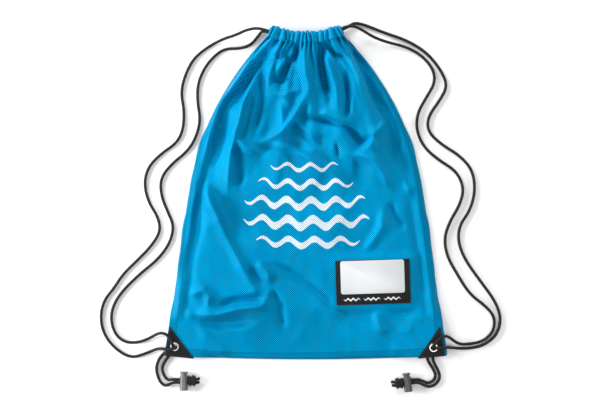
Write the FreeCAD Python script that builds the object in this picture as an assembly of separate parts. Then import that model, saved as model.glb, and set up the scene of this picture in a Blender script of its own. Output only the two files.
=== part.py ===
import FreeCAD, Part
import math
import os

# Drawstring backpack lying flat and empty on a surface, in millimetres.
# +X is to the right, +Y runs from the bottom edge to the gathered mouth, +Z is up.
# The origin is on the surface, below the middle of the bag.

# ---------------------------------------------------------------- driving sizes
BAG_HALF_LENGTH = 224.0        # bottom edge to mouth is 448
BOTTOM_HALF_WIDTH = 190.0      # at the bottom corners
SIDE_TAPER = 0.14              # width lost on each side per mm of height
SHOULDER_START = 193.0         # height above the bottom edge where the sides curve in
SHOULDER_REACH = 242.0         # height from there to the mouth
SHOULDER_DEPTH = 77.0          # how far the sides have come in at the mouth
SHOULDER_POWER = 2.6
CORNER_Y = -219.0              # the bottom corners sit a little above the bottom edge

FABRIC = 0.6                   # mesh fabric, as one plain layer
LEATHER = 0.8                  # corner patches and label
CORNER_LIFT = 5.8              # underside of the back panel where cords pass below
CORNER_FLAT = 45.0             # size of the raised flat corner
CORNER_RAMP = 30.0             # run in which the raised corner comes down
BODY_RISE = 8.0                # underside of the front panel over the body
MOUTH_RISE = 14.0              # underside of the front panel at the mouth
SEAM_BAND = 12.0               # flat sewn band along the edges

TUNNEL_CENTRE_Y = 337.5        # the mouth is an arc about this centre
TUNNEL_RADIUS = 130.0
TUNNEL_WIDTH = 13.0
TUNNEL_HEIGHT = 8.0
TUNNEL_HALF_ANGLE = 22.4       # degrees
TUNNEL_SEGMENTS = 4
TUNNEL_WALL = 1.2
TUNNEL_END_POCKET = 4.6        # degrees of each end left open for the cord's turn

CORD_RADIUS = 2.0
CORD_GAP = 4.2                 # two cords side by side, centre to centre

PATCH_LEG = 40.0
PATCH_STITCH_INSET = 1.5
EYELET_HOLE_RADIUS = 4.4
EYELET_TUBE_RADIUS = 4.9
EYELET_FLANGE_RADIUS = 5.7
EYELET_FLANGE = 0.8
WASHER = 0.6
EYELETS = {"left": (-176.3, -206.8), "right": (171.3, -208.1)}
PATCH_INSET = {"left": 0.5, "right": 3.5}

LABEL_CENTRE = (90.0, -120.0)
LABEL_SIZE = (100.0, 60.0)
LABEL_TURN = 1.8               # degrees
INSERT_SIZE = (85.6, 44.5)
INSERT_OFFSET = (-0.5, 6.9)
INSERT_THICKNESS = 0.3
INSERT_CORNER = 3.0
THREAD = 0.5

LOCK_RADIUS = 5.5
LOCK_LENGTH = 19.5
LOCK_FLOOR = 1.5
LOCK_BORE_RADIUS = 4.2
LOCK_SLOT = (6.0, 17.0)        # along the barrel, from its closed end
SLOT_WIDTH = 4.6
STEM_RADIUS = 4.0
STEM_END = 4.4
STEM_SLOT = (8.5, 19.5)
STEM_POCKET_RADIUS = 3.2
SPRING_TOP = 7.0
SPRING_RADIUS = 2.5
SPRING_WIRE = 0.3
SPRING_TURNS = 4
SPRING_STEPS = 8               # points to a turn
NECK_TOP = 22.9
HEAD_THICKNESS = 2.0
# Each lock: closed end, turn about +Z in degrees, and which way its cords come in.
LOCKS = {"left": ((-164.0, -265.7), 0.0, -1.0), "right": ((137.85, -267.4), 7.5, 1.0)}

KNOT_RADIUS = 5.2
KNOT_LENGTH = 15.6
KNOT_ROUNDING = 2.6
KNOT_OFFSET = 11.0             # lock axis to knot centre
KNOT_TAIL = 8.0                # length of the cut cord ends, from inside the knot

# Routes of the four free cords, from the mouth to the knot. Each list was laid out by
# hand: out of the tunnel, down to the surface, along it, up over the corner patch,
# down through the eyelet, back out below the corner and through the lock.
CORD_ROUTES = {
    "left_outer_cord": [
        (-50.34, 215.36, 18), (-62, 220.15, 17.5), (-79, 218, 14), (-95, 211, 8.5),
        (-112, 206.5, 4), (-132, 196, 2), (-151, 181, 2), (-162.5, 159, 2),
        (-168.5, 135, 2), (-164, 111, 2), (-165, 86, 2), (-173.5, 67, 2),
        (-195, 52.5, 2), (-213, 34, 2), (-218, 11, 2), (-212, -13, 2),
        (-199.5, -32, 2), (-195.5, -52, 2), (-209, -73, 2), (-229, -93, 2),
        (-247, -110.5, 2), (-258, -128, 2), (-272, -145, 2), (-277, -167, 2),
        (-272.5, -190, 2), (-257.5, -209.5, 2), (-236, -223, 2), (-216, -216.5, 2),
        (-204, -211.5, 3.4), (-197.5, -209.3, 7.2), (-191, -209, 12.2),
        (-184, -211, 12.2), (-174.8, -208.3, 11.8), (-174.8, -208.3, 2),
        (-181, -216, 2), (-189.5, -226, 2), (-194.3, -237, 2), (-190.5, -247.5, 2),
        (-185, -252.5, 3.4), (-179.5, -250.9, 5.5), (-170, -251, 5.55),
        (-156, -250.9, 5.5)],
    "left_inner_cord": [
        (-50.34, 215.36, 4), (-58, 218.5, 3.6), (-64.5, 210.5, 2.2), (-73.5, 199, 2),
        (-89, 193.5, 2), (-109, 194, 2), (-124.5, 183, 2), (-137.5, 166.5, 2),
        (-146, 145, 2), (-146, 121, 2), (-142, 98.5, 2), (-147.5, 75.5, 2),
        (-159, 56, 2), (-181, 38.5, 2), (-196, 19, 2), (-195, -4, 2),
        (-186.5, -25, 2), (-177.5, -45, 2), (-183.5, -69, 2), (-200, -90.5, 2),
        (-222, -108, 2), (-245, -130, 2), (-259, -150, 2), (-263, -170, 2),
        (-257.5, -190, 2), (-244, -201.5, 2), (-227, -202, 2), (-211.5, -196.5, 2.6),
        (-202.5, -191, 6.6), (-194.5, -187.6, 11.6), (-186.5, -189.8, 12.2),
        (-181.5, -197, 12), (-177.8, -205.3, 11.8), (-177.8, -205.3, 2),
        (-187.5, -213, 2), (-197, -222, 2), (-202, -235, 2), (-199.5, -248, 2),
        (-194.5, -257.5, 2), (-187, -260.2, 3.4), (-179.5, -255, 5.5),
        (-170, -255.1, 5.55), (-156, -255, 5.5)],
    "right_outer_cord": [
        (48.74, 219.25, 4), (57, 222.65, 3.6), (65, 228.8, 2.4), (80, 225.5, 2),
        (104, 215.5, 2), (136, 205, 2), (163.5, 188, 2), (182.5, 163.5, 2),
        (190.5, 143.5, 2), (180.5, 124.5, 2), (164, 102, 2), (164, 82, 2),
        (182, 65, 2), (207, 50, 2), (224.5, 30, 2), (228, 2, 2), (221, -24, 2),
        (206, -45, 2), (205, -68, 2), (215, -92, 2), (235.5, -120, 2), (254, -145, 2),
        (263, -168, 2), (258, -190.5, 2), (241, -205, 2), (221, -209.6, 2),
        (206, -209.6, 3), (197, -208.4, 7.4), (189.5, -207.4, 12.2),
        (182.5, -207.6, 12.2), (173.3, -208.7, 11.8), (173.3, -208.7, 2),
        (170.3, -217.8, 2), (171.6, -228, 2), (177.8, -238.5, 2), (181, -249.5, 2),
        (174, -259.2, 2), (165, -261.6, 2.4), (157.2, -258.3, 3.8),
        (150.83, -254.85, 5.5), (141.5, -255.95, 5.55), (128.52, -257.79, 5.5)],
    "right_inner_cord": [
        (48.74, 219.25, 18), (60.5, 224.1, 17.5), (75, 217.5, 15), (90, 208.5, 10),
        (109, 202, 5), (134.5, 196.5, 2), (157, 184, 2), (172, 165, 2),
        (173.5, 147, 2), (162, 128, 2), (149.5, 106, 2), (149, 82, 2), (159.5, 60, 2),
        (180, 43, 2), (202.5, 29, 2), (213, 6, 2), (207, -17, 2), (193, -40, 2),
        (186, -62, 2), (190, -86, 2), (203, -109, 2), (220, -136.5, 2),
        (243, -153.5, 2), (254.3, -168, 2), (252.6, -187, 2), (238.5, -200.4, 2),
        (221, -203.6, 2), (209, -204.4, 2.8), (200.5, -200.6, 7.2),
        (192.5, -194, 11.8), (185, -191.4, 12.2), (177, -197, 12),
        (169.3, -207.5, 11.8), (169.3, -207.5, 2), (163.2, -216, 2),
        (163.5, -226, 2), (170.5, -236, 2), (175.2, -246, 2), (171.4, -253.7, 2),
        (164, -256.6, 2.4), (157.8, -253.5, 3.8), (150.29, -250.78, 5.5),
        (140.9, -251.85, 5.55), (127.98, -253.72, 5.5)],
}


# ---------------------------------------------------------------- helpers
def save(shape, node):
    """Write one node as a STEP file."""
    if not shape.isValid():
        print("NOT VALID", node)
    shape.exportStep("parts/" + node + ".step")


def half_width(y):
    """Half of the bag's width at y."""
    height = y + BAG_HALF_LENGTH
    shoulder = max(0.0, (height - SHOULDER_START) / SHOULDER_REACH)
    return BOTTOM_HALF_WIDTH - SIDE_TAPER * height - SHOULDER_DEPTH * shoulder ** SHOULDER_POWER


def on_mouth(radius, degrees):
    """A point of the mouth's arc; the angle is from the middle, positive to the right."""
    angle = math.radians(degrees)
    return (radius * math.sin(angle), TUNNEL_CENTRE_Y - radius * math.cos(angle))


def mouth_angles(limit=TUNNEL_HALF_ANGLE):
    """Angles of the tunnel's straight segments, from left to right."""
    return [limit * (2.0 * k / TUNNEL_SEGMENTS - 1.0) for k in range(TUNNEL_SEGMENTS + 1)]


def corner_lift(x, y):
    """How far the corner is raised at a point of the edge band."""
    away = max(BOTTOM_HALF_WIDTH - abs(x), y - CORNER_Y)
    part = (CORNER_FLAT + CORNER_RAMP - away) / CORNER_RAMP
    return CORNER_LIFT * min(1.0, max(0.0, part))


def slab(cells, thickness):
    """A closed solid: flat polygons given by their underside, made thick along Z."""
    faces = []
    rims = {}
    for cell in cells:
        low = [FreeCAD.Vector(*p) for p in cell]
        high = [p + FreeCAD.Vector(0, 0, thickness) for p in low]
        faces.append(Part.Face(Part.makePolygon(low + low[:1])))
        faces.append(Part.Face(Part.makePolygon(high + high[:1])))
        for start, end in zip(cell, cell[1:] + cell[:1]):
            key = frozenset((start, end))
            rims[key] = None if key in rims else (start, end)
    for rim in rims.values():
        if rim:
            a, b = (FreeCAD.Vector(*p) for p in rim)
            up = FreeCAD.Vector(0, 0, thickness)
            faces.append(Part.Face(Part.makePolygon([a, b, b + up, a + up, a])))
    solid = Part.Solid(Part.Shell(faces))
    if solid.Volume < 0:
        solid.reverse()
    return solid


def flat_plate(points, z, thickness):
    """A plate with a polygon outline."""
    corners = [FreeCAD.Vector(x, y, z) for x, y in points]
    return Part.Face(Part.makePolygon(corners + corners[:1])).extrude(
        FreeCAD.Vector(0, 0, thickness))


def frame_plate(points, z, thickness, width, inset):
    """A thin closed line of thread that follows a polygon at a distance inside it."""
    outer = flat_plate(shrink(points, inset), z, thickness)
    return outer.cut(flat_plate(shrink(points, inset + width), z, thickness))


def shrink(points, inset):
    """A convex polygon moved inwards by a distance; its points run anticlockwise."""
    lines = []
    for (ax, ay), (bx, by) in zip(points, points[1:] + points[:1]):
        length = math.hypot(bx - ax, by - ay)
        ux, uy = (bx - ax) / length, (by - ay) / length
        lines.append((ax - uy * inset, ay + ux * inset, ux, uy))
    result = []
    for (px, py, ux, uy), (qx, qy, vx, vy) in zip(lines[-1:] + lines[:-1], lines):
        step = ((qx - px) * vy - (qy - py) * vx) / (ux * vy - uy * vx)
        result.append((px + ux * step, py + uy * step))
    return result


def turned(points, centre, degrees):
    """Points about the origin, turned and moved to a centre."""
    c, s = math.cos(math.radians(degrees)), math.sin(math.radians(degrees))
    return [(centre[0] + c * x - s * y, centre[1] + s * x + c * y) for x, y in points]


def rectangle(size, offset=(0.0, 0.0)):
    """Corners of a rectangle, anticlockwise."""
    w, h = size[0] / 2.0, size[1] / 2.0
    return [(x + offset[0], y + offset[1]) for x, y in ((-w, -h), (w, -h), (w, h), (-w, h))]


def cord_tube(name, points, thickness=CORD_RADIUS):
    """A round cord or wire: straight runs joined by arcs as large as the runs allow."""
    route = [FreeCAD.Vector(*p) for p in points]
    edges = []
    radii = []
    length = 0.0
    last = route[0]
    for before, at, after in zip(route, route[1:], route[2:]):
        run_in, run_out = at - before, after - at
        u, v = FreeCAD.Vector(run_in).normalize(), FreeCAD.Vector(run_out).normalize()
        turn = u.getAngle(v)
        reach = 0.45 * min(run_in.Length, run_out.Length)
        radius = reach / math.tan(turn / 2.0)
        start, end = at - u * reach, at + v * reach
        inward = (v - u).normalize()
        middle = at + inward * (radius / math.cos(turn / 2.0) - radius)
        edges.append(Part.LineSegment(last, start).toShape())
        edges.append(Part.Arc(start, middle, end).toShape())
        length += (start - last).Length + radius * turn
        radii.append(radius)
        last = end
    edges.append(Part.LineSegment(last, route[-1]).toShape())
    length += (route[-1] - last).Length
    circle = Part.Circle(route[0], route[1] - route[0], thickness).toShape()
    tube = Part.Wire(edges).makePipeShell([Part.Wire(circle)], True, False)
    ratio = tube.Volume / (math.pi * thickness ** 2 * length)
    print(name, "length %.1f" % length, "volume ratio %.4f" % ratio,
          "radii", " ".join("%.1f" % r for r in radii))
    return tube


# ---------------------------------------------------------------- bag
def edge_rings():
    """Three matching rows of points, from the mouth round the bottom to the mouth:
    the outline, the inside of the sewn band, and the edge of the raised field.
    Each point is (x, y); the last entry tells which seam the next strip belongs to."""
    mouth = on_mouth(TUNNEL_RADIUS + TUNNEL_WIDTH / 2.0, TUNNEL_HALF_ANGLE)
    side = [((mouth[0] + 4.0, mouth[1] + 0.8), (mouth[0] + 2.0, mouth[1] + 0.4), mouth)]
    insets = ((165.0, 8.0, 16.0), (120.0, SEAM_BAND, 24.0), (60.0, SEAM_BAND, 28.0),
              (-20.0, SEAM_BAND, 30.0), (-100.0, SEAM_BAND, 30.0), (-144.0, SEAM_BAND, 30.0),
              (CORNER_Y + CORNER_FLAT, SEAM_BAND, 32.0))
    for y, band, field in insets:
        w = half_width(y)
        side.append(((w, y), (w - band, y), (w - field, y)))
    corner = (BOTTOM_HALF_WIDTH, CORNER_Y)
    side.append((corner, (corner[0] - 24.0, CORNER_Y + 24.0), (150.0, CORNER_Y + 39.0)))
    low = -BAG_HALF_LENGTH
    flat_x = BOTTOM_HALF_WIDTH - CORNER_FLAT
    ramp_x = flat_x - CORNER_RAMP
    side.append(((flat_x, low + 0.5), (flat_x, low + SEAM_BAND), (flat_x - 3.0, low + 40.0)))
    side.append(((ramp_x, low), (ramp_x, low + SEAM_BAND), (ramp_x, low + 40.0)))
    mirrored = [tuple((-x, y) for x, y in row) for row in side]
    return mirrored + side[::-1]


def strip_cells(rows, heights):
    """Triangles between matching rows of points."""
    cells = []
    for this, following in zip(rows, rows[1:]):
        for k in range(len(heights) - 1):
            a, b = this[k], this[k + 1]
            c, d = following[k + 1], following[k]
            za, zb = heights[k](a), heights[k + 1](b)
            zc, zd = heights[k + 1](c), heights[k](d)
            cells.append(((a[0], a[1], za), (b[0], b[1], zb), (c[0], c[1], zc)))
            cells.append(((a[0], a[1], za), (c[0], c[1], zc), (d[0], d[1], zd)))
    return cells


def field_cells(rows, height):
    """The raised field inside the strips, with a sloping neck towards the mouth."""
    inner = [row[2] for row in rows]
    half = len(inner) // 2
    left, right = inner[:half], inner[half:][::-1]
    body = [(x, y, height((x, y))) for x, y in left[2:] + right[2:][::-1]]
    neck = [left[1], left[2], right[2], right[1]]
    cells = [tuple(body), tuple((x, y, height((x, y))) for x, y in neck)]
    reach = TUNNEL_RADIUS + TUNNEL_WIDTH / 2.0
    mouth = [on_mouth(reach, a) for a in mouth_angles()]
    middle = TUNNEL_SEGMENTS // 2
    fans = [(left[1], mouth[k + 1], mouth[k]) for k in range(middle)]
    fans.append((left[1], right[1], mouth[middle]))
    fans += [(right[1], mouth[k + 1], mouth[k]) for k in range(middle, TUNNEL_SEGMENTS)]
    for fan in fans:
        cells.append(tuple((x, y, height((x, y))) for x, y in fan))
    return cells


def field_height(point):
    """Underside of the front panel over the raised field."""
    y = point[1]
    if y > 190.0:
        return MOUTH_RISE
    if y > 150.0:
        return (BODY_RISE + MOUTH_RISE) / 2.0
    return BODY_RISE


def punched(shape):
    """Cut the two eyelet holes."""
    for x, y in EYELETS.values():
        hole = Part.makeCylinder(EYELET_TUBE_RADIUS, 30.0, FreeCAD.Vector(x, y, -5.0))
        shape = shape.cut(hole)
    return shape


def make_panels():
    """The front and back panels, with their raised corners."""
    rows = edge_rings()

    def back_edge(p):
        return corner_lift(*p)

    def back_field(p):
        return 0.0

    def front_edge(p):
        return corner_lift(*p) + 2.0 * FABRIC

    back = strip_cells(rows, (back_edge, back_edge, back_field)) + field_cells(rows, back_field)
    save(punched(slab(back, FABRIC)), "back_panel")
    front = strip_cells(rows, (front_edge, front_edge, field_height))
    front += field_cells(rows, field_height)
    save(punched(slab(front, FABRIC)), "front_panel")


def make_seams():
    """The folded seam allowances sewn between the panels along three edges."""
    rows = [row[:2] for row in edge_rings()]
    half = len(rows) // 2

    def seam_level(p):
        return corner_lift(*p) + FABRIC

    spans = {"left_side_seam": rows[:half - 2], "bottom_seam": rows[half - 3:half + 3],
             "right_side_seam": rows[half + 2:]}
    for node, span in spans.items():
        save(punched(slab(strip_cells(span, (seam_level, seam_level)), FABRIC)), node)


def arc_band(inner, outer, low, high, angles):
    """A band that follows the mouth's segments."""
    outline = [on_mouth(inner, a) for a in angles] + [on_mouth(outer, a) for a in angles[::-1]]
    return flat_plate(outline, low, high - low)


def make_tunnels():
    """The two fabric tunnels that the cords run through."""
    inner = TUNNEL_RADIUS - TUNNEL_WIDTH / 2.0
    outer = TUNNEL_RADIUS + TUNNEL_WIDTH / 2.0
    whole = mouth_angles()
    beyond = [a * 1.05 for a in whole]
    channel_inner, channel_outer = inner + TUNNEL_WALL, outer - TUNNEL_WALL
    open_end = TUNNEL_HALF_ANGLE - TUNNEL_END_POCKET
    pockets = [arc_band(channel_inner, channel_outer, TUNNEL_WALL, MOUTH_RISE + TUNNEL_HEIGHT
                        - TUNNEL_WALL, [side * open_end, side * TUNNEL_HALF_ANGLE * 1.05])
               for side in (-1.0, 1.0)]
    for node, low in (("back_tunnel", 0.0), ("front_tunnel", MOUTH_RISE)):
        band = arc_band(inner, outer, low, low + TUNNEL_HEIGHT, whole)
        band = band.cut(arc_band(channel_inner, channel_outer, low + TUNNEL_WALL,
                                 low + TUNNEL_HEIGHT - TUNNEL_WALL, beyond))
        for pocket in pockets:
            band = band.cut(pocket)
        save(band, node)
    top = MOUTH_RISE + TUNNEL_HEIGHT
    save(arc_band(outer - 2.0, outer - 2.0 + THREAD, top, top + 0.3, whole),
         "front_tunnel_stitching")


def make_corners():
    """Leather patches, their stitching, the eyelets and their washers."""
    front_low = CORNER_LIFT + 3.0 * FABRIC
    front_top = front_low + LEATHER
    back_low = CORNER_LIFT - LEATHER
    for side, sign in (("left", -1.0), ("right", 1.0)):
        inset = PATCH_INSET[side]
        flat_edge = (half_width(CORNER_Y + CORNER_FLAT), CORNER_Y + CORNER_FLAT)
        corner = (BOTTOM_HALF_WIDTH, CORNER_Y)
        foot = (BOTTOM_HALF_WIDTH - CORNER_FLAT, -BAG_HALF_LENGTH + 0.5)
        share = PATCH_LEG / CORNER_FLAT
        points = [corner,
                  (corner[0] + (flat_edge[0] - corner[0]) * share - inset,
                   corner[1] + CORNER_FLAT * share),
                  (corner[0] + (foot[0] - corner[0]) * share,
                   corner[1] + (foot[1] - corner[1]) * share)]
        points[0] = (corner[0] - inset, corner[1] - 0.1 * inset)
        points = [(sign * x, y) for x, y in points]
        if sign < 0:
            points = points[::-1]
        save(punched(flat_plate(points, front_low, LEATHER)), side + "_front_patch")
        save(punched(flat_plate(points, back_low, LEATHER)), side + "_back_patch")
        thread = frame_plate(points, front_top, 0.3, THREAD, PATCH_STITCH_INSET)
        save(thread, side + "_patch_stitching")
        x, y = EYELETS[side]
        centre = FreeCAD.Vector(x, y, back_low - WASHER)
        tube = Part.makeCylinder(EYELET_TUBE_RADIUS, front_top - centre.z, centre)
        flange = Part.makeCylinder(EYELET_FLANGE_RADIUS, EYELET_FLANGE,
                                   FreeCAD.Vector(x, y, front_top))
        rim = [e for e in flange.Edges if abs(e.BoundBox.ZMin - front_top - EYELET_FLANGE) < 1e-6
               and e.BoundBox.XLength > 1.0]
        flange = flange.makeFillet(0.35, rim)
        hole = Part.makeCylinder(EYELET_HOLE_RADIUS, 20.0, centre - FreeCAD.Vector(0, 0, 5))
        save(tube.fuse(flange).cut(hole).removeSplitter(), side + "_eyelet")
        washer = Part.makeCylinder(EYELET_FLANGE_RADIUS, WASHER, centre)
        bore = Part.makeCylinder(EYELET_TUBE_RADIUS, 4.0, centre - FreeCAD.Vector(0, 0, 1))
        save(washer.cut(bore), side + "_eyelet_washer")


def make_label():
    """The sewn label, its pale insert and its line of stitching."""
    low = BODY_RISE + FABRIC
    outline = turned(rectangle(LABEL_SIZE), LABEL_CENTRE, LABEL_TURN)
    save(flat_plate(outline, low, LEATHER), "label_patch")
    window = turned(rectangle(INSERT_SIZE, INSERT_OFFSET), LABEL_CENTRE, LABEL_TURN)
    plate = flat_plate(window, low + LEATHER, INSERT_THICKNESS)
    uprights = [e for e in plate.Edges if e.BoundBox.ZLength > 0.5 * INSERT_THICKNESS]
    save(plate.makeFillet(INSERT_CORNER, uprights), "label_insert")
    save(frame_plate(outline, low + LEATHER, 0.2, 0.35, 0.4), "label_stitching")


# ---------------------------------------------------------------- cords
def run_through_tunnels(start_side, radius):
    """A cord's hidden length: through the front tunnel, round, and back."""
    front, back = MOUTH_RISE + TUNNEL_HEIGHT / 2.0, TUNNEL_HEIGHT / 2.0
    turn_angle = TUNNEL_HALF_ANGLE - 0.75
    angles = [TUNNEL_HALF_ANGLE, 17.0, 7.0, -3.5, -13.0]
    there = [on_mouth(radius, start_side * a) + (front,) for a in angles]
    there.append(on_mouth(radius, -start_side * turn_angle) + (front,))
    back_again = [point[:2] + (back,) for point in there[::-1]]
    return there + back_again


def make_cords():
    """The free cords and the runs that join them inside the tunnels."""
    for node, route in CORD_ROUTES.items():
        save(cord_tube(node, route), node)
    for node, side, radius in (("left_cord_run", -1.0, TUNNEL_RADIUS + CORD_GAP / 2.0),
                               ("right_cord_run", 1.0, TUNNEL_RADIUS - CORD_GAP / 2.0)):
        save(cord_tube(node, run_through_tunnels(side, radius)), node)


def make_knot(side):
    """The knot past the lock, with the two cut cord ends."""
    (x, y), degrees, incoming = LOCKS[side]
    along = (LOCK_SLOT[1] + STEM_SLOT[0]) / 2.0
    away = -incoming
    knot = along_y(KNOT_RADIUS, -KNOT_LENGTH / 2.0, KNOT_LENGTH / 2.0)
    knot = knot.makeFillet(KNOT_ROUNDING, [e for e in knot.Edges if e.BoundBox.YLength < 0.01])
    for offset in (-CORD_GAP / 2.0, CORD_GAP / 2.0):
        start = FreeCAD.Vector(away * 1.5, offset, 0.0)
        knot = knot.fuse(Part.makeCylinder(CORD_RADIUS, KNOT_TAIL, start,
                                           FreeCAD.Vector(away, 0.06 * offset, -0.22)))
    knot.translate(FreeCAD.Vector(away * KNOT_OFFSET, along, 0.0))
    place(knot, x, y, degrees)
    save(knot.removeSplitter(), side + "_knot")


# ---------------------------------------------------------------- cord locks
def place(shape, x, y, degrees):
    """Move a piece modelled about the lock's closed end to where the lock lies."""
    shape.rotate(FreeCAD.Vector(0, 0, 0), FreeCAD.Vector(0, 0, 1), degrees)
    shape.translate(FreeCAD.Vector(x, y, LOCK_RADIUS))


def along_y(radius, low, high):
    """A round bar on the lock's axis."""
    return Part.makeCylinder(radius, high - low, FreeCAD.Vector(0, low, 0),
                             FreeCAD.Vector(0, 1, 0))


def cross_slot(low, high):
    """The cord's way through, across the lock."""
    return Part.makeBox(4.0 * LOCK_RADIUS, high - low, SLOT_WIDTH,
                        FreeCAD.Vector(-2.0 * LOCK_RADIUS, low, -SLOT_WIDTH / 2.0))


def make_barrel():
    """The lock's body: a cup with a slot across it."""
    outside = along_y(LOCK_RADIUS, 0.0, LOCK_LENGTH)
    outside = outside.makeFillet(0.6, [e for e in outside.Edges if e.BoundBox.YLength < 0.01])
    return outside.cut(along_y(LOCK_BORE_RADIUS, LOCK_FLOOR, LOCK_LENGTH + 1.0)).cut(
        cross_slot(*LOCK_SLOT))


def make_plunger():
    """The sprung button: slotted stem, neck and round head."""
    stem = along_y(STEM_RADIUS, STEM_END, NECK_TOP)
    stem = stem.cut(along_y(STEM_POCKET_RADIUS, STEM_END - 1.0, SPRING_TOP))
    stem = stem.cut(cross_slot(*STEM_SLOT))
    head = along_y(LOCK_RADIUS, NECK_TOP, NECK_TOP + HEAD_THICKNESS)
    head = head.makeFillet(0.5, [e for e in head.Edges if e.BoundBox.YLength < 0.01])
    return stem.fuse(head).removeSplitter()


def make_spring():
    """The coil spring between the cup's floor and the stem."""
    low = LOCK_FLOOR + 1.1 * SPRING_WIRE
    rise = SPRING_TOP - 1.1 * SPRING_WIRE - low
    steps = SPRING_TURNS * SPRING_STEPS
    route = []
    for k in range(steps + 1):
        angle = 2.0 * math.pi * k / SPRING_STEPS
        route.append((SPRING_RADIUS * math.cos(angle), low + rise * k / steps,
                      SPRING_RADIUS * math.sin(angle)))
    return cord_tube("spring", route, SPRING_WIRE)


def make_locks():
    """Both cord locks, each a barrel, a plunger and a spring."""
    for side, ((x, y), degrees, incoming) in LOCKS.items():
        for piece, maker in (("lock_barrel", make_barrel), ("lock_plunger", make_plunger),
                             ("lock_spring", make_spring)):
            shape = maker()
            place(shape, x, y, degrees)
            save(shape, side + "_" + piece)
        make_knot(side)


os.makedirs("parts", exist_ok=True)
make_panels()
make_seams()
make_tunnels()
make_corners()
make_label()
make_cords()
make_locks()
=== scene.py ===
"""A drawstring backpack of knitted mesh, lying flat and empty, around its CAD frame."""

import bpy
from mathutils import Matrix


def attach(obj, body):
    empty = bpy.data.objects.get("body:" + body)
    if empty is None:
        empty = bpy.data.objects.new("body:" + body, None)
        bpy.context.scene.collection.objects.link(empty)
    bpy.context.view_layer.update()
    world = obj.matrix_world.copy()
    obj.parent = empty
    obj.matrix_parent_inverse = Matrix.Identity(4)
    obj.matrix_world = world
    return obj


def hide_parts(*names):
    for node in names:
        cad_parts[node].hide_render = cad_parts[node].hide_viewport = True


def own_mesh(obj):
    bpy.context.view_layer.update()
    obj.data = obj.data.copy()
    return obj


bl_info = {
    "name": "Drawstring Backpack",
    "version": (1, 0, 0),
    "blender": (4, 5, 0),
    "location": "3D View > Sidebar > Backpack",
    "description": "Makes the fabric, cords, trim and stage of a drawstring backpack",
    "category": "Object",
}

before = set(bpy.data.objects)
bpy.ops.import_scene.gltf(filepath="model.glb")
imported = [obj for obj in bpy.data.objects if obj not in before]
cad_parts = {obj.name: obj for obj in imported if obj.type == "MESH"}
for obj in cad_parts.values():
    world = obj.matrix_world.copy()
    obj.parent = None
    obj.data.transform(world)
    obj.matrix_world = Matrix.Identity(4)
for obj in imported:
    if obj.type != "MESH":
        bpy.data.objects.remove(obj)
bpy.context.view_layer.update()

import math

import bmesh
import bpy
import numpy as np
from bpy.props import FloatProperty, FloatVectorProperty, IntProperty, PointerProperty
from mathutils import Matrix, Vector, noise

MM = 0.001

# ------------------------------------------------------------------ the bag's pattern
BOTTOM_EDGE = -224 * MM
CORNER = (190 * MM, -219 * MM)     # the right bottom corner; the left one mirrors it
CORNER_LIFT = 5.8 * MM             # the cords below hold each corner up by this much
CORNER_FLAT = 45 * MM              # size of the raised flat corner
CORNER_RAMP = 30 * MM              # run in which it comes down to the floor
SIDE_TAPER = 0.14                  # width lost on each side per length of height
SHOULDER_START = 193 * MM          # height above the bottom where the sides curve in
SHOULDER_REACH = 242 * MM          # height from there to the mouth
SHOULDER_DEPTH = 77 * MM           # how far the sides have come in at the mouth
SHOULDER_POWER = 2.6
MOUTH_CENTRE = 337.5 * MM          # the mouth is an arc about this point of the Y axis
MOUTH_RADIUS = 130 * MM            # along the middle of the tunnel
MOUTH_ANGLE = math.radians(22.4)
MOUTH_TOP = 211.3 * MM             # where the side edges meet the tunnel
FRONT_TUNNEL_Z = 18 * MM
BACK_TUNNEL_Z = 4 * MM
PANEL_CUT = (380 * MM, 455 * MM)   # one panel, flat, before its top is gathered
PANEL_TOP_RADIUS = 136.5 * MM      # where the panels' gathered tops lie in the tunnels
PANEL_GRID = (96, 114)             # squares across and along, before rounding
TUNNEL_GRID = (240, 26)            # squares along and round a tunnel
SEAM_INSET = 11 * MM               # width of the folded and sewn allowances
SEAM_THICKNESS = 0.6 * MM
SEAM_STEPS = 90                    # stretches along each allowance
RUFFLE_RISE = 8.5 * MM             # height of the gathers at the mouth
CLOTH_BED = 1.4 * MM               # the front panel's face stays above this height
CALM_HEIGHT = 20 * MM              # above this height the folds grow less and less
CALM_RANGE = 8 * MM                # and add no more than this
EYELETS = {"left": (-176.3 * MM, -206.8 * MM), "right": (171.3 * MM, -208.1 * MM)}
EYELET_BORE = 4.9 * MM             # radius of the hole in the leather
CLOTH_HOLE = 4.2 * MM              # the cloth's faces within this radius are cut away,
CLOTH_BORE = 5.1 * MM              # and its edge is then pushed out to this one
LEATHER = 0.8 * MM                 # thickness of the patches and the label
PATCH_SHARE = 40.0 / 45.0          # how much of the flat corner a patch covers
PATCH_INSET = {"left": 0.5 * MM, "right": 3.5 * MM}
PATCH_LEVELS = {"front": 7.6 * MM, "back": 5.0 * MM}    # underside of each patch
PATCH_ROUNDING = 1.2 * MM
PATCH_STITCH_INSET = 1.7 * MM
PATCH_BED = 7.3 * MM               # top of the cloth between the patches
LABEL_CENTRE = (90 * MM, -120 * MM)
LABEL_TURN = math.radians(1.8)
LABEL_LEVEL = 8.6 * MM             # underside of the label
LABEL_BED = 8.3 * MM               # top of the cloth below it
LABEL_ROUNDING = 1.6 * MM
LABEL_STITCH_INSET = 0.75 * MM
CARD_SIZE = (85.6 * MM, 44.5 * MM)
CARD_OFFSET = (-0.5 * MM, 6.9 * MM)
CARD_THICKNESS = 0.3 * MM
CARD_ROUNDING = 3.0 * MM

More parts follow.
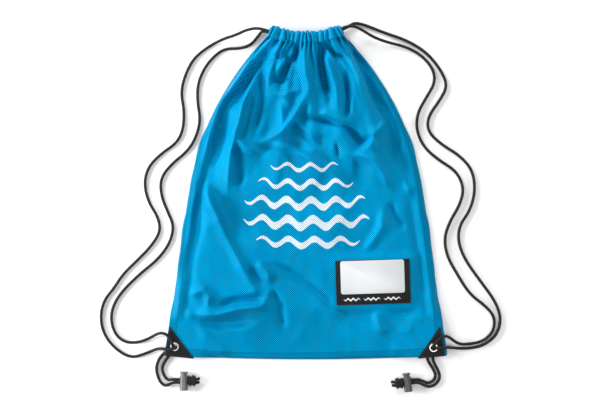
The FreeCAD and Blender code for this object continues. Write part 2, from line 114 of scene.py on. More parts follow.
# The cord locks, in millimetres. Each lock has its closed end, its turn in degrees, and
# the side of it on which the knot lies. The other sizes are from the closed end.
LOCKS = {"left": ((-164.0, -265.7), 0.0, 1.0), "right": ((137.85, -267.4), 7.5, -1.0)}
KNOT_CENTRE = (11.0, 12.75)        # across and along the barrel
SPRING_SPAN = (1.83, 6.67)         # along the barrel
SPRING_RADIUS, SPRING_WIRE = 2.5, 0.3
SPRING_TURNS, SPRING_STEPS = 4, 12
LOCK_AXIS_Z = 5.5 * MM             # height of both barrels' axes above the floor

# Control points of the four free cords in millimetres, from the mouth to the knot.
CORD_ROUTES = {
    "left_outer_cord": [
        (-50.34, 215.36, 18), (-62, 220.15, 17.5), (-79, 218, 14), (-95, 211, 8.5),
        (-112, 206.5, 4), (-132, 196, 2), (-151, 181, 2), (-162.5, 159, 2),
        (-168.5, 135, 2), (-164, 111, 2), (-165, 86, 2), (-173.5, 67, 2),
        (-195, 52.5, 2), (-213, 34, 2), (-218, 11, 2), (-212, -13, 2),
        (-199.5, -32, 2), (-195.5, -52, 2), (-209, -73, 2), (-229, -93, 2),
        (-247, -110.5, 2), (-258, -128, 2), (-272, -145, 2), (-277, -167, 2),
        (-272.5, -190, 2), (-257.5, -209.5, 2), (-236, -223, 2), (-216, -216.5, 2),
        (-204, -211.5, 3.4), (-197.5, -209.3, 7.2), (-191, -209, 12.2),
        (-184, -211, 12.2), (-174.8, -208.3, 11.8), (-174.8, -208.3, 2),
        (-181, -216, 2), (-189.5, -226, 2), (-194.3, -237, 2), (-190.5, -247.5, 2),
        (-185, -252.5, 3.4), (-179.5, -250.9, 5.5), (-170, -251, 5.55),
        (-156, -250.9, 5.5)],
    "left_inner_cord": [
        (-50.34, 215.36, 4), (-58, 218.5, 3.6), (-64.5, 210.5, 2.2), (-73.5, 199, 2),
        (-89, 193.5, 2), (-109, 194, 2), (-124.5, 183, 2), (-137.5, 166.5, 2),
        (-146, 145, 2), (-146, 121, 2), (-142, 98.5, 2), (-147.5, 75.5, 2),
        (-159, 56, 2), (-181, 38.5, 2), (-196, 19, 2), (-195, -4, 2),
        (-186.5, -25, 2), (-177.5, -45, 2), (-183.5, -69, 2), (-200, -90.5, 2),
        (-222, -108, 2), (-245, -130, 2), (-259, -150, 2), (-263, -170, 2),
        (-257.5, -190, 2), (-244, -201.5, 2), (-227, -202, 2), (-211.5, -196.5, 2.6),
        (-202.5, -191, 6.6), (-194.5, -187.6, 11.6), (-186.5, -189.8, 12.2),
        (-181.5, -197, 12), (-177.8, -205.3, 11.8), (-177.8, -205.3, 2),
        (-187.5, -213, 2), (-197, -222, 2), (-202, -235, 2), (-199.5, -248, 2),
        (-194.5, -257.5, 2), (-187, -260.2, 3.4), (-179.5, -255, 5.5),
        (-170, -255.1, 5.55), (-156, -255, 5.5)],
    "right_outer_cord": [
        (48.74, 219.25, 4), (57, 222.65, 3.6), (65, 228.8, 2.4), (80, 225.5, 2),
        (104, 215.5, 2), (136, 205, 2), (163.5, 188, 2), (182.5, 163.5, 2),
        (190.5, 143.5, 2), (180.5, 124.5, 2), (164, 102, 2), (164, 82, 2),
        (182, 65, 2), (207, 50, 2), (224.5, 30, 2), (228, 2, 2), (221, -24, 2),
        (206, -45, 2), (205, -68, 2), (215, -92, 2), (235.5, -120, 2), (254, -145, 2),
        (263, -168, 2), (258, -190.5, 2), (241, -205, 2), (221, -209.6, 2),
        (206, -209.6, 3), (197, -208.4, 7.4), (189.5, -207.4, 12.2),
        (182.5, -207.6, 12.2), (173.3, -208.7, 11.8), (173.3, -208.7, 2),
        (170.3, -217.8, 2), (171.6, -228, 2), (177.8, -238.5, 2), (181, -249.5, 2),
        (174, -259.2, 2), (165, -261.6, 2.4), (157.2, -258.3, 3.8),
        (150.83, -254.85, 5.5), (141.5, -255.95, 5.55), (128.52, -257.79, 5.5)],
    "right_inner_cord": [
        (48.74, 219.25, 18), (60.5, 224.1, 17.5), (75, 217.5, 15), (90, 208.5, 10),
        (109, 202, 5), (134.5, 196.5, 2), (157, 184, 2), (172, 165, 2),
        (173.5, 147, 2), (162, 128, 2), (149.5, 106, 2), (149, 82, 2), (159.5, 60, 2),
        (180, 43, 2), (202.5, 29, 2), (213, 6, 2), (207, -17, 2), (193, -40, 2),
        (186, -62, 2), (190, -86, 2), (203, -109, 2), (220, -136.5, 2),
        (243, -153.5, 2), (254.3, -168, 2), (252.6, -187, 2), (238.5, -200.4, 2),
        (221, -203.6, 2), (209, -204.4, 2.8), (200.5, -200.6, 7.2),
        (192.5, -194, 11.8), (185, -191.4, 12.2), (177, -197, 12),
        (169.3, -207.5, 11.8), (169.3, -207.5, 2), (163.2, -216, 2),
        (163.5, -226, 2), (170.5, -236, 2), (175.2, -246, 2), (171.4, -253.7, 2),
        (164, -256.6, 2.4), (157.8, -253.5, 3.8), (150.29, -250.78, 5.5),
        (140.9, -251.85, 5.55), (127.98, -253.72, 5.5)],
}

# Each cord's hidden run through the tunnels: its side, and the radius at which it lies.
CORD_RUNS = {"left_cord_run": (-1.0, 132.1 * MM), "right_cord_run": (1.0, 127.9 * MM)}
CORD_RUN_ANGLES = (22.4, 17.0, 7.0, -3.5, -13.0, -21.65)

# Folds of the front panel in millimetres: height (negative is a valley), half width,
# and the line that the fold follows.
FOLDS = [
    (-9, 9, [(-38, 208), (-67, 168), (-89, 133), (-108, 114), (-116, 71), (-124, 23)]),
    (-5, 6, [(-57, 171), (-59, 125), (-67, 90), (-70, 74)]),
    (-7, 5, [(-13, 206), (-11, 187), (-24, 173), (-30, 160), (-21, 152)]),
    (-8, 6, [(19, 208), (22, 165), (27, 141), (32, 125)]),
    (-5, 4, [(54, 160), (55, 125), (53, 101)]),
    (-6, 4, [(24, 203), (40, 184), (54, 178)]),
    (-8, 7, [(46, 214), (73, 176), (94, 128), (110, 106), (116, 82), (119, 58),
             (132, 12)]),
    (-5, 5, [(-8, 101), (19, 98), (51, 90), (73, 68), (92, 74), (97, 93)]),
    (-5, 8, [(-100, 71), (-92, 44), (-89, 4)]),
    (-5, 5, [(-51, 179), (-30, 184), (-19, 190)]),
    (-4, 4, [(-48, 155), (-35, 149), (-24, 152)]),
    (-4, 7, [(-11, 87), (8, 71), (27, 66)]),
    (-3, 2.5, [(94, 114), (110, 109)]),
    (-3, 3, [(40, 66), (43, 47)]),
    (-6, 6, [(-137, 25), (-143, -10), (-150, -40)]),
    (6, 5, [(-59, 179), (-70, 152), (-84, 120), (-90, 93), (-97, 71), (-102, 44),
            (-106, -4)]),
    (5, 4, [(-94, 74), (-81, 60), (-65, 52)]),
    (6, 5, [(-8, 203), (-3, 184), (-1, 157), (5, 138), (-8, 117), (-19, 98),
            (-32, 82), (-57, 68)]),
    (4, 4, [(-19, 98), (0, 82), (16, 68)]),
    (6, 4, [(24, 184), (32, 165), (40, 138), (43, 114)]),
    (4, 5, [(16, 103), (27, 106), (38, 101), (62, 90)]),
    (4, 6, [(57, 182), (67, 163), (75, 141)]),
    (5, 6, [(108, 98), (94, 82), (86, 66), (78, 58)]),
    (5, 6, [(57, 52), (73, 50), (89, 44), (102, 28), (113, 4)]),
    (5, 6, [(-70, 184), (-89, 152), (-113, 125), (-129, 82), (-137, 50)]),
    (4, 5, [(-24, 179), (-38, 163)]),
    (3.5, 3, [(-46, 138), (-30, 130), (-16, 136), (3, 138)]),
    (3, 3, [(-35, 120), (-32, 98), (-36, 82)]),
    (4, 5, [(-57, 68), (-24, 60), (3, 47), (27, 33), (54, 17)]),
    (4, 5, [(124, 60), (127, 28), (143, -10)]),
    (8, 8, [(-139, 20), (-133, -4), (-118, -34), (-102, -66), (-89, -90),
            (-78, -112), (-69, -131)]),
    (-4, 8, [(-143, -23), (-146, -50), (-159, -85), (-164, -112)]),
    (-5, 6, [(-113, -44), (-94, -76), (-78, -104), (-64, -118), (-51, -126)]),
    (-5, 4, [(-118, -155), (-97, -146), (-70, -143), (-54, -141)]),
    (6, 6, [(-156, -163), (-121, -163), (-89, -155), (-57, -151), (-50, -134)]),
    (-3, 7, [(-153, -172), (-116, -175), (-62, -170)]),
    (4, 5, [(-156, -136), (-137, -131), (-129, -139), (-132, -152)]),
    (4, 6, [(-67, -93), (-54, -104), (-46, -120)]),
    (-3, 7, [(-62, -88), (-24, -105), (8, -125), (35, -147), (62, -169), (76, -177)]),
    (3, 6, [(-60, -100), (-24, -116), (8, -137), (35, -158), (58, -178)]),
    (-4, 7, [(-46, -125), (-35, -152), (-30, -185)]),
    (3, 6, [(92, -158), (100, -182), (110, -190)]),
    (-3, 7, [(110, -12), (121, -37), (135, -53)]),
    (3, 8, [(100, -18), (102, -45), (89, -66), (73, -82)]),
]

# Printed waves in millimetres: centre x, centre y, length, rise, wavelength, thickness.
PANEL_WAVES = [(-4, 52, 120, 4.5, 40, 6.5), (-2, 27, 160, 5.0, 40, 8.5),
               (-3, 0, 196, 5.5, 40, 11.0), (0, -28, 200, 5.5, 40, 13.0),
               (2, -56, 160, 5.0, 40, 10.0)]
LABEL_WAVES = [(x, -22.6, 23, 1.2, 7.0, 3.0) for x in (-29, -2, 25)]

CAMERA_PLACE = (-8 * MM, -16 * MM, 1.9)
CAMERA_LENS = 84.6
WORLD_STRENGTH = 0.40
# Area lights, all aimed at the origin: x, y, z and size in metres, power in watts.
LIGHTS = ((-0.85, 1.15, 0.62, 0.38, 19.0), (1.40, 0.35, 0.62, 0.45, 8.0),
          (-1.30, -0.1, 0.50, 0.40, 23.0), (0.3, -0.5, 2.3, 1.2, 13.5))


# ------------------------------------------------------------------ settings
class BackpackSettings(bpy.types.PropertyGroup):
    """Sizes and colours of the backpack."""

    fabric_thickness: FloatProperty(
        name="Fabric thickness", description="Thickness of the knitted mesh",
        default=0.5 * MM, min=0.2 * MM, max=1.2 * MM, unit="LENGTH")
    cord_diameter: FloatProperty(
        name="Cord diameter", description="Diameter of the braided cord",
        default=4 * MM, min=2 * MM, max=6 * MM, unit="LENGTH")
    ruffles: IntProperty(
        name="Ruffles", description="Gathers across the mouth", default=15, min=6, max=24)
    settle_frames: IntProperty(
        name="Settling frames", description="Length of the cloth simulation",
        default=24, min=4, max=60)
    hole_pitch: FloatProperty(
        name="Hole pitch", description="Distance between the mesh's holes along a row",
        default=2.9 * MM, min=1 * MM, max=6 * MM, unit="LENGTH")
    label_width: FloatProperty(
        name="Label width", description="Long side of the sewn label",
        default=100 * MM, unit="LENGTH")
    label_height: FloatProperty(
        name="Label height", description="Short side of the sewn label",
        default=60 * MM, unit="LENGTH")
    fabric_colour: FloatVectorProperty(
        name="Fabric", description="Colour of the mesh", subtype="COLOR",
        default=(0.0, 0.262, 0.525), min=0.0, max=1.0)
    ink_colour: FloatVectorProperty(
        name="Ink", description="Colour of the print", subtype="COLOR",
        default=(0.85, 0.90, 0.92), min=0.0, max=1.0)
    cord_colour: FloatVectorProperty(
        name="Cord", description="Colour of the cord", subtype="COLOR",
        default=(0.008, 0.008, 0.008), min=0.0, max=1.0)
    leather_colour: FloatVectorProperty(
        name="Leather", description="Colour of the patches and label", subtype="COLOR",
        default=(0.007, 0.007, 0.008), min=0.0, max=1.0)
    metal_colour: FloatVectorProperty(
        name="Eyelets", description="Colour of the plated eyelets", subtype="COLOR",
        default=(0.64, 0.63, 0.61), min=0.0, max=1.0)
    left_lock_colour: FloatVectorProperty(
        name="Left lock", description="Colour of the left cord lock", subtype="COLOR",
        default=(0.105, 0.105, 0.11), min=0.0, max=1.0)
    right_lock_colour: FloatVectorProperty(
        name="Right lock", description="Colour of the right cord lock", subtype="COLOR",
        default=(0.055, 0.055, 0.06), min=0.0, max=1.0)


# ------------------------------------------------------------------ shader building
class Tree:
    """A node tree with short calls to add and join nodes."""

    def __init__(self, tree):
        self.tree = tree

    def add(self, kind, inputs=None, **settings):
        node = self.tree.nodes.new(kind)
        for name, value in settings.items():
            setattr(node, name, value)
        for name, value in (inputs or {}).items():
            self.feed(node.inputs[name], value)
        return node

    def feed(self, socket, value):
        if isinstance(value, bpy.types.NodeSocket):
            self.tree.links.new(value, socket)
        else:
            socket.default_value = value

    def maths(self, operation, *values, clamp=False):
        node = self.add("ShaderNodeMath", dict(enumerate(values)), operation=operation)
        node.use_clamp = clamp
        return node.outputs[0]

    def plus(self, a, b):
        return self.maths("ADD", a, b)

    def minus(self, a, b):
        return self.maths("SUBTRACT", a, b)

    def times(self, a, b):
        return self.maths("MULTIPLY", a, b)

    def over(self, a, b):
        return self.maths("DIVIDE", a, b)

    def split(self, vector):
        return self.add("ShaderNodeSeparateXYZ", {0: vector}).outputs

    def place(self):
        """Where a point is on the object, in metres."""
        return self.add("ShaderNodeTexCoord").outputs["Object"]

    def mix(self, factor, a, b):
        node = self.tree.nodes.new("ShaderNodeMix")
        node.data_type = "RGBA"
        for index, value in ((0, factor), (6, a), (7, b)):
            self.feed(node.inputs[index], value)
        return node.outputs[2]

    def ramp(self, value, low, high, start=0.0, end=1.0):
        return self.add("ShaderNodeMapRange", {0: value, 1: low, 2: high, 3: start, 4: end},
                        interpolation_type="SMOOTHSTEP").outputs[0]

    def noise(self, vector, scale, detail=2.0, roughness=0.5):
        return self.add("ShaderNodeTexNoise", {"Vector": vector, "Scale": scale,
                        "Detail": detail, "Roughness": roughness}).outputs["Fac"]

    def bump(self, height, strength, distance):
        return self.add("ShaderNodeBump", {"Height": height, "Strength": strength,
                                           "Distance": distance}).outputs[0]


def new_group(name, inputs, outputs):
    """An empty shader node group with named inputs and outputs."""
    group = bpy.data.node_groups.new(name, "ShaderNodeTree")
    for socket, kind, default in inputs:
        made = group.interface.new_socket(socket, in_out="INPUT", socket_type=kind)
        if default is not None:
            made.default_value = default
    for socket in outputs:
        group.interface.new_socket(socket, in_out="OUTPUT", socket_type="NodeSocketFloat")
    tree = Tree(group)
    return group, tree, tree.add("NodeGroupInput").outputs, tree.add("NodeGroupOutput").inputs


FLOAT, VECTOR = "NodeSocketFloat", "NodeSocketVector"


def knit_group():
    """Staggered round holes in a knitted mesh, from a vector in metres along the cloth."""
    group, t, given, out = new_group(
        "Knitted Mesh", [("Vector", VECTOR, None), ("Pitch", FLOAT, 2.9 * MM),
                         ("Row", FLOAT, 3.0 * MM)], ["Holes", "Height"])
    split = t.split(given["Vector"])
    turn_x = t.times(t.over(split[0], given["Pitch"]), 2 * math.pi)
    turn_y = t.times(t.over(split[1], given["Row"]), 2 * math.pi)
    lattice = t.times(t.maths("COSINE", turn_x), t.maths("COSINE", turn_y))
    wander = t.noise(given["Vector"], 900.0, 3.0)
    ragged = t.plus(lattice, t.times(t.minus(wander, 0.5), 0.5))
    t.feed(out["Holes"], t.ramp(ragged, 0.05, 0.45))
    strand = t.maths("ABSOLUTE", t.maths("SINE", t.times(turn_x, 3.0)))
    t.feed(out["Height"], t.minus(t.ramp(ragged, 0.55, -0.6), t.times(strand, 0.12)))
    return group


def wave_group():
    """One printed wave with tapering ends."""
    group, t, given, out = new_group(
        "Printed Wave", [("Vector", VECTOR, None), ("Centre X", FLOAT, 0.0),
                         ("Centre Y", FLOAT, 0.0), ("Length", FLOAT, 0.1),
                         ("Rise", FLOAT, 5 * MM), ("Wavelength", FLOAT, 36 * MM),
                         ("Thickness", FLOAT, 7 * MM)], ["Mask"])
    split = t.split(given["Vector"])
    x = t.minus(split[0], given["Centre X"])
    y = t.minus(split[1], given["Centre Y"])
    turn = t.times(t.over(x, given["Wavelength"]), 2 * math.pi)
    crest = t.times(t.maths("SINE", turn), given["Rise"])
    gap = t.maths("ABSOLUTE", t.minus(y, crest))
    along = t.over(x, t.times(given["Length"], 0.5))
    left_over = t.minus(1.0, t.times(along, along))
    half = t.times(t.times(given["Thickness"], 0.5),
                   t.maths("SQRT", t.maths("MAXIMUM", left_over, 0.0)))
    inside = t.over(t.minus(half, gap), 0.4 * MM)
    t.feed(out["Mask"], t.times(t.maths("ADD", inside, 0.0, clamp=True),
                                t.maths("GREATER_THAN", left_over, 0.0)))
    return group


def grain_group():
    """Pebbled grain with fine pores and a slow mottle."""
    group, t, given, out = new_group(
        "Leather Grain", [("Vector", VECTOR, None), ("Scale", FLOAT, 1000.0)],
        ["Height", "Mottle"])
    cells = t.add("ShaderNodeTexVoronoi", {"Vector": given["Vector"], "Scale": given["Scale"]},
                  feature="DISTANCE_TO_EDGE").outputs[0]
    pebble = t.ramp(cells, 0.0, 0.25)
    fine = t.noise(given["Vector"], 2600.0, 3.0)
    t.feed(out["Height"], t.plus(pebble, t.times(fine, 0.4)))
    t.feed(out["Mottle"], t.noise(given["Vector"], 90.0, 4.0, 0.6))
    return group


def wear_group():
    """Scuffs and dust: a patchy mask."""
    group, t, given, out = new_group(
        "Scuffs", [("Vector", VECTOR, None), ("Scale", FLOAT, 60.0), ("Amount", FLOAT, 0.4)],
        ["Mask"])
    broad = t.noise(given["Vector"], given["Scale"], 5.0, 0.65)
    streak = t.noise(given["Vector"], t.times(given["Scale"], 9.0), 3.0, 0.6)
    both = t.times(t.ramp(broad, 0.45, 0.75), t.ramp(streak, 0.40, 0.80))
    t.feed(out["Mask"], t.times(both, given["Amount"]))
    return group


def braid_group():
    """The diamond pattern of a braided cord, from its own UV map."""
    group, t, given, out = new_group(
        "Braid", [("Vector", VECTOR, None), ("Plaits", FLOAT, 230.0), ("Strands", FLOAT, 4.0)],
        ["Height"])
    split = t.split(given["Vector"])
    along = t.times(t.times(split[0], given["Plaits"]), 2 * math.pi)
    around = t.times(t.times(split[1], given["Strands"]), 2 * math.pi)
    one = t.maths("COSINE", t.plus(along, around))
    other = t.maths("COSINE", t.minus(along, around))
    plait = t.maths("MAXIMUM", one, other)
    t.feed(out["Height"], t.ramp(plait, -0.6, 0.9))
    return group


GROUPS = {}  # the shared node groups, by the function that builds them


def use(t, builder, output, **inputs):
    """Place a shared group in a material and return one of its outputs, or all of them."""
    if builder not in GROUPS:
        GROUPS[builder] = builder()
    node = t.tree.nodes.new("ShaderNodeGroup")
    node.node_tree = GROUPS[builder]
    for name, value in inputs.items():
        t.feed(node.inputs[name.replace("_", " ")], value)
    return node.outputs if output is None else node.outputs[output]


def waves_mask(t, vector, waves):
    """Where the ink of a list of printed waves lies."""
    ink = None
    for x, y, length, rise, wavelength, thick in waves:
        one = use(t, wave_group, "Mask", Vector=vector, Centre_X=x * MM, Centre_Y=y * MM,
                  Length=length * MM, Rise=rise * MM, Wavelength=wavelength * MM,
                  Thickness=thick * MM)
        ink = one if ink is None else t.maths("MAXIMUM", ink, one)
    return ink


def start_material(name, **constants):
    """A new material with a Principled shader; constants set its own sockets."""
    material = bpy.data.materials.new(name)
    material.use_nodes = True
    t = Tree(material.node_tree)
    shader = material.node_tree.nodes["Principled BSDF"]
    for socket, value in constants.items():
        shader.inputs[socket.replace("_", " ")].default_value = value
    return material, t, shader.inputs


def rgba(colour, scale=1.0):
    """A socket's colour, with its brightness scaled."""
    return tuple(min(1.0, c * scale) for c in colour) + (1.0,)


def mesh_material(settings, printed):
    """Satin knitted mesh; the front also carries the printed waves."""
    name = "Printed mesh fabric" if printed else "Mesh fabric"
    material, t, shader = start_material(
        name, Roughness=0.45, Sheen_Weight=0.16, Sheen_Roughness=0.40,
        Specular_IOR_Level=0.32)
    shader["Specular Tint"].default_value = (0.0, 0.85, 0.80, 1.0)
    shader["Sheen Tint"].default_value = (0.0, 0.60, 0.90, 1.0)
    cut = t.add("ShaderNodeUVMap", uv_map="Cut").outputs[0]
    weave = t.add("ShaderNodeUVMap", uv_map="Weave").outputs[0]
    place = t.place()
    knit = use(t, knit_group, None, Vector=weave, Pitch=settings.hole_pitch)
    blue = settings.fabric_colour
    slow = t.ramp(t.noise(place, 14.0, 3.0), 0.35, 0.65)
    colour = t.mix(slow, rgba(blue, 0.90), rgba(blue, 1.10))
    fine = t.noise(weave, 2200.0, 2.0)
    colour = t.mix(t.times(fine, 0.30), colour, rgba((0.0, 0.36, 0.70)))
    # the sewn band along the sides and the bottom is two layers, and looks darker
    split = t.split(cut)
    from_side = t.minus(PANEL_CUT[0] / 2, t.maths("ABSOLUTE", split[0]))
    from_foot = t.minus(split[1], BOTTOM_EDGE)
    inside = t.maths("MINIMUM", from_side, from_foot)
    band = t.ramp(inside, SEAM_INSET + 1.0 * MM, SEAM_INSET)
    colour = t.mix(t.times(band, 0.46), colour, rgba((0.0, 0.10, 0.20)))
    fold_line = t.minus(1.0, t.ramp(
        t.maths("ABSOLUTE", t.minus(inside, SEAM_INSET + 0.4 * MM)), 0.2 * MM, 1.0 * MM))
    colour = t.mix(t.times(fold_line, 0.34), colour, rgba((0.0, 0.07, 0.16)))
    # the holes are painted a near-black blue: painted shade of the layers seen through them
    holes = t.times(knit["Holes"], t.minus(1.0, t.times(band, 0.2)))
    colour = t.mix(t.times(holes, 0.96), colour, rgba((0.0, 0.035, 0.11)))
    if printed:
        worn = t.ramp(t.noise(cut, 420.0, 4.0, 0.7), 0.28, 0.42)
        ink = t.times(t.times(waves_mask(t, cut, PANEL_WAVES), worn),
                      t.minus(1.0, t.times(knit["Holes"], 0.95)))
        colour = t.mix(t.times(ink, 0.92), colour, rgba(settings.ink_colour))
    t.feed(shader["Base Color"], colour)
    t.feed(shader["Roughness"], t.ramp(fine, 0.2, 0.8, 0.46, 0.62))
    t.feed(shader["Normal"], t.bump(knit["Height"], 0.55, 0.35 * MM))
    return material


def cord_material(settings):
    """Black braid with a little fluff."""
    material, t, shader = start_material("Braided cord", Roughness=0.62, Sheen_Weight=0.06,
                                         Sheen_Roughness=0.5, Specular_IOR_Level=0.25)
    own = t.add("ShaderNodeUVMap").outputs[0]
    place = t.place()
    plait = use(t, braid_group, "Height", Vector=own)
    fibre = t.noise(place, 2500.0, 2.0)
    # the braid's grooves are painted darker and its crests lighter: painted shade and painted
    # light on the plaits
    colour = t.mix(plait, rgba(settings.cord_colour, 0.35), rgba(settings.cord_colour, 1.3))
    fluff = use(t, wear_group, "Mask", Vector=place, Scale=40.0, Amount=0.5)
    t.feed(shader["Base Color"], t.mix(fluff, colour, rgba((0.03, 0.03, 0.03))))
    t.feed(shader["Roughness"], t.ramp(fibre, 0.2, 0.8, 0.52, 0.72))
    height = t.plus(plait, t.times(fibre, 0.3))
    t.feed(shader["Normal"], t.bump(height, 0.8, 0.35 * MM))
    return material


def leather_material(settings, printed=False):
    """Black grained leather; the label also carries three printed waves."""
    name = "Printed label leather" if printed else "Patch leather"
    material, t, shader = start_material(name, Roughness=0.5, Specular_IOR_Level=0.17)
    place = t.place()
    grain = use(t, grain_group, None, Vector=place, Scale=1100.0)
    black = settings.leather_colour
    colour = t.mix(grain["Mottle"], rgba(black, 0.75), rgba(black, 1.6))
    scuff = use(t, wear_group, "Mask", Vector=place, Scale=120.0, Amount=0.35)
    colour = t.mix(scuff, colour, rgba((0.022, 0.022, 0.022)))
    if printed:
        turned = t.add("ShaderNodeMapping", {"Vector": place,
                       "Location": (-LABEL_CENTRE[0], -LABEL_CENTRE[1], 0.0)}).outputs[0]
        turned = t.add("ShaderNodeMapping", {"Vector": turned,
                       "Rotation": (0.0, 0.0, -LABEL_TURN)}).outputs[0]
        ink = waves_mask(t, turned, LABEL_WAVES)
        colour = t.mix(t.times(ink, 0.9), colour, rgba((0.8, 0.8, 0.8)))
    t.feed(shader["Base Color"], colour)
    t.feed(shader["Roughness"], t.ramp(grain["Mottle"], 0.3, 0.7, 0.40, 0.58))
    t.feed(shader["Normal"], t.bump(grain["Height"], 0.45, 0.18 * MM))
    return material


def card_material():
    """Pale smooth card behind the label's window."""
    material, t, shader = start_material("Label card", Roughness=0.2, Coat_Weight=0.2,
                                         Coat_Roughness=0.08)
    place = t.place()
    slow = t.noise(place, 25.0, 2.0)
    scuff = use(t, wear_group, "Mask", Vector=place, Scale=90.0, Amount=0.15)
    colour = t.mix(slow, rgba((0.55, 0.58, 0.60)), rgba((0.64, 0.66, 0.67)))
    t.feed(shader["Base Color"], t.mix(scuff, colour, rgba((0.48, 0.50, 0.52))))
    t.feed(shader["Roughness"], t.ramp(slow, 0.3, 0.7, 0.14, 0.26))
    t.feed(shader["Normal"], t.bump(t.noise(place, 160.0, 2.0), 0.15, 0.2 * MM))
    return material


def plastic_material(name, colour):
    """Scuffed moulded plastic."""
    material, t, shader = start_material(name, Roughness=0.35, Specular_IOR_Level=0.55)
    place = t.place()
    scuff = use(t, wear_group, "Mask", Vector=place, Scale=220.0, Amount=0.5)
    tone = t.mix(t.noise(place, 120.0, 3.0), rgba(colour, 0.85), rgba(colour, 1.15))
    t.feed(shader["Base Color"], t.mix(scuff, tone, rgba(colour, 2.2)))
    t.feed(shader["Roughness"], t.ramp(t.noise(place, 700.0, 3.0), 0.3, 0.7, 0.28, 0.42))
    t.feed(shader["Normal"], t.bump(t.noise(place, 1800.0, 2.0), 0.12, 0.1 * MM))
    return material


def metal_material(name, colour, rough):
    """Plated or drawn metal with small scratches."""
    material, t, shader = start_material(name, Metallic=1.0, Roughness=rough)
    place = t.place()
    scuff = use(t, wear_group, "Mask", Vector=place, Scale=300.0, Amount=0.6)
    t.feed(shader["Base Color"], t.mix(scuff, rgba(colour), rgba(colour, 0.6)))
    t.feed(shader["Roughness"], t.ramp(scuff, 0.0, 0.6, rough, rough + 0.25))
    t.feed(shader["Normal"], t.bump(t.noise(place, 1500.0, 3.0), 0.1, 0.1 * MM))
    return material


def thread_material(name, colour):
    """Twisted sewing thread."""
    material, t, shader = start_material(name, Roughness=0.6, Sheen_Weight=0.2)
    place = t.place()
    twist = t.noise(place, 3500.0, 1.0)
    t.feed(shader["Base Color"], t.mix(twist, rgba(colour, 0.5), rgba(colour, 2.0)))
    t.feed(shader["Normal"], t.bump(twist, 0.6, 0.1 * MM))
    return material


def floor_material():
    """A nearly white floor."""
    material, t, shader = start_material("Pale floor", Roughness=0.65)
    place = t.place()
    slow = t.noise(place, 3.0, 2.0)
    pale, paler = rgba((0.955, 0.955, 0.955)), rgba((0.965, 0.965, 0.965))
    t.feed(shader["Base Color"], t.mix(slow, pale, paler))
    return material


MATERIALS = {}  # the materials made so far, by their short names


def finish_of(name):
    """One shared material, made when it is first needed."""
    s = bpy.context.scene.backpack
    makers = {
        "front": lambda: mesh_material(s, True),
        "mesh": lambda: mesh_material(s, False),
        "cord": lambda: cord_material(s),
        "leather": lambda: leather_material(s),
        "label": lambda: leather_material(s, True),
        "card": card_material,
        "eyelet": lambda: metal_material("Plated eyelet", s.metal_colour, 0.30),
        "spring": lambda: metal_material("Spring steel", (0.5, 0.5, 0.51), 0.3),
        "left_lock": lambda: plastic_material("Grey plastic", s.left_lock_colour),
        "right_lock": lambda: plastic_material("Dark plastic", s.right_lock_colour),
        "thread": lambda: thread_material("Black thread", (0.014, 0.014, 0.014)),
        "blue_thread": lambda: thread_material("Blue thread", s.fabric_colour),
        "floor": floor_material,
    }
    if name not in MATERIALS:
        MATERIALS[name] = makers[name]()
    return MATERIALS[name]


# ------------------------------------------------------------------ shape helpers
def deselect():
    """Leave edit mode and deselect everything."""
    if bpy.context.object and bpy.context.object.mode != "OBJECT":
        bpy.ops.object.mode_set(mode="OBJECT")
    bpy.ops.object.select_all(action="DESELECT")


def pick(piece):
    """Make a piece the only selected object, and the active one."""
    deselect()
    piece.select_set(True)
    bpy.context.view_layer.objects.active = piece


def settle_origin(piece):
    """Leave the piece's place in its mesh, and its object at the origin."""
    pick(piece)
    bpy.ops.object.transform_apply(location=True, rotation=True, scale=True)


def use_modifiers(piece):
    """Apply every modifier of a piece, in order."""
    pick(piece)
    for modifier in list(piece.modifiers):
        bpy.ops.object.modifier_apply(modifier=modifier.name)


def new_mesh_piece(name, points, faces):
    """A mesh object in the scene, from its points and faces."""
    mesh = bpy.data.meshes.new(name)
    mesh.from_pydata([tuple(p) for p in points], [], faces)
    piece = bpy.data.objects.new(name, mesh)
    bpy.context.scene.collection.objects.link(piece)
    return piece


def final_mesh(piece):
    """A plain mesh of a piece as its curve, shape keys and modifiers leave it."""
    return bpy.data.meshes.new_from_object(
        piece.evaluated_get(bpy.context.evaluated_depsgraph_get()))


def face_outwards(piece):
    pick(piece)
    bpy.ops.object.mode_set(mode="EDIT")
    bpy.ops.mesh.select_all(action="SELECT")
    bpy.ops.mesh.normals_make_consistent(inside=False)
    bpy.ops.object.mode_set(mode="OBJECT")


def grid_faces(across, along):
    """The squares of a grid whose points run across it, row by row."""
    row = across + 1
    return [(a, a + 1, a + row + 1, a + row)
            for j in range(along) for a in range(j * row, j * row + across)]


def smooth_edges(piece):
    """Shade smooth, apart from the edges sharper than 40 degrees."""
    pick(piece)
    bpy.ops.object.shade_smooth_by_angle(angle=math.radians(40.0))


def smooth_faces(piece):
    for polygon in piece.data.polygons:
        polygon.use_smooth = True


def finish_node(name, material):
    """Give a CAD node its material."""
    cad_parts[name].material_slots[0].material = finish_of(material)


def hand_in(piece, material, body="bag", stands_for=()):
    """Give a finished piece its material and its body."""
    piece.data.materials.clear()
    piece.data.materials.append(finish_of(material))
    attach(piece, body)
    if stands_for:
        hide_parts(*stands_for)
    return piece


def smooth_step(low, high, x):
    t = min(1.0, max(0.0, (x - low) / (high - low)))
    return t * t * (3.0 - 2.0 * t)


def half_width(y):
    """Half of the bag's width at y."""
    height = y - BOTTOM_EDGE
    shoulder = max(0.0, (height - SHOULDER_START) / SHOULDER_REACH)
    return CORNER[0] - SIDE_TAPER * height - SHOULDER_DEPTH * shoulder ** SHOULDER_POWER


def side_line():
    """Points of the side edge, from the corner to the mouth, with the length so far."""
    steps, run = 400, 0.0
    line = []
    for k in range(steps + 1):
        y = CORNER[1] + (MOUTH_TOP - CORNER[1]) * k / steps
        x = half_width(y)
        if line:
            run += math.dist((x, y), line[-1][:2])
        line.append((x, y, run))
    return line


SIDE = side_line()


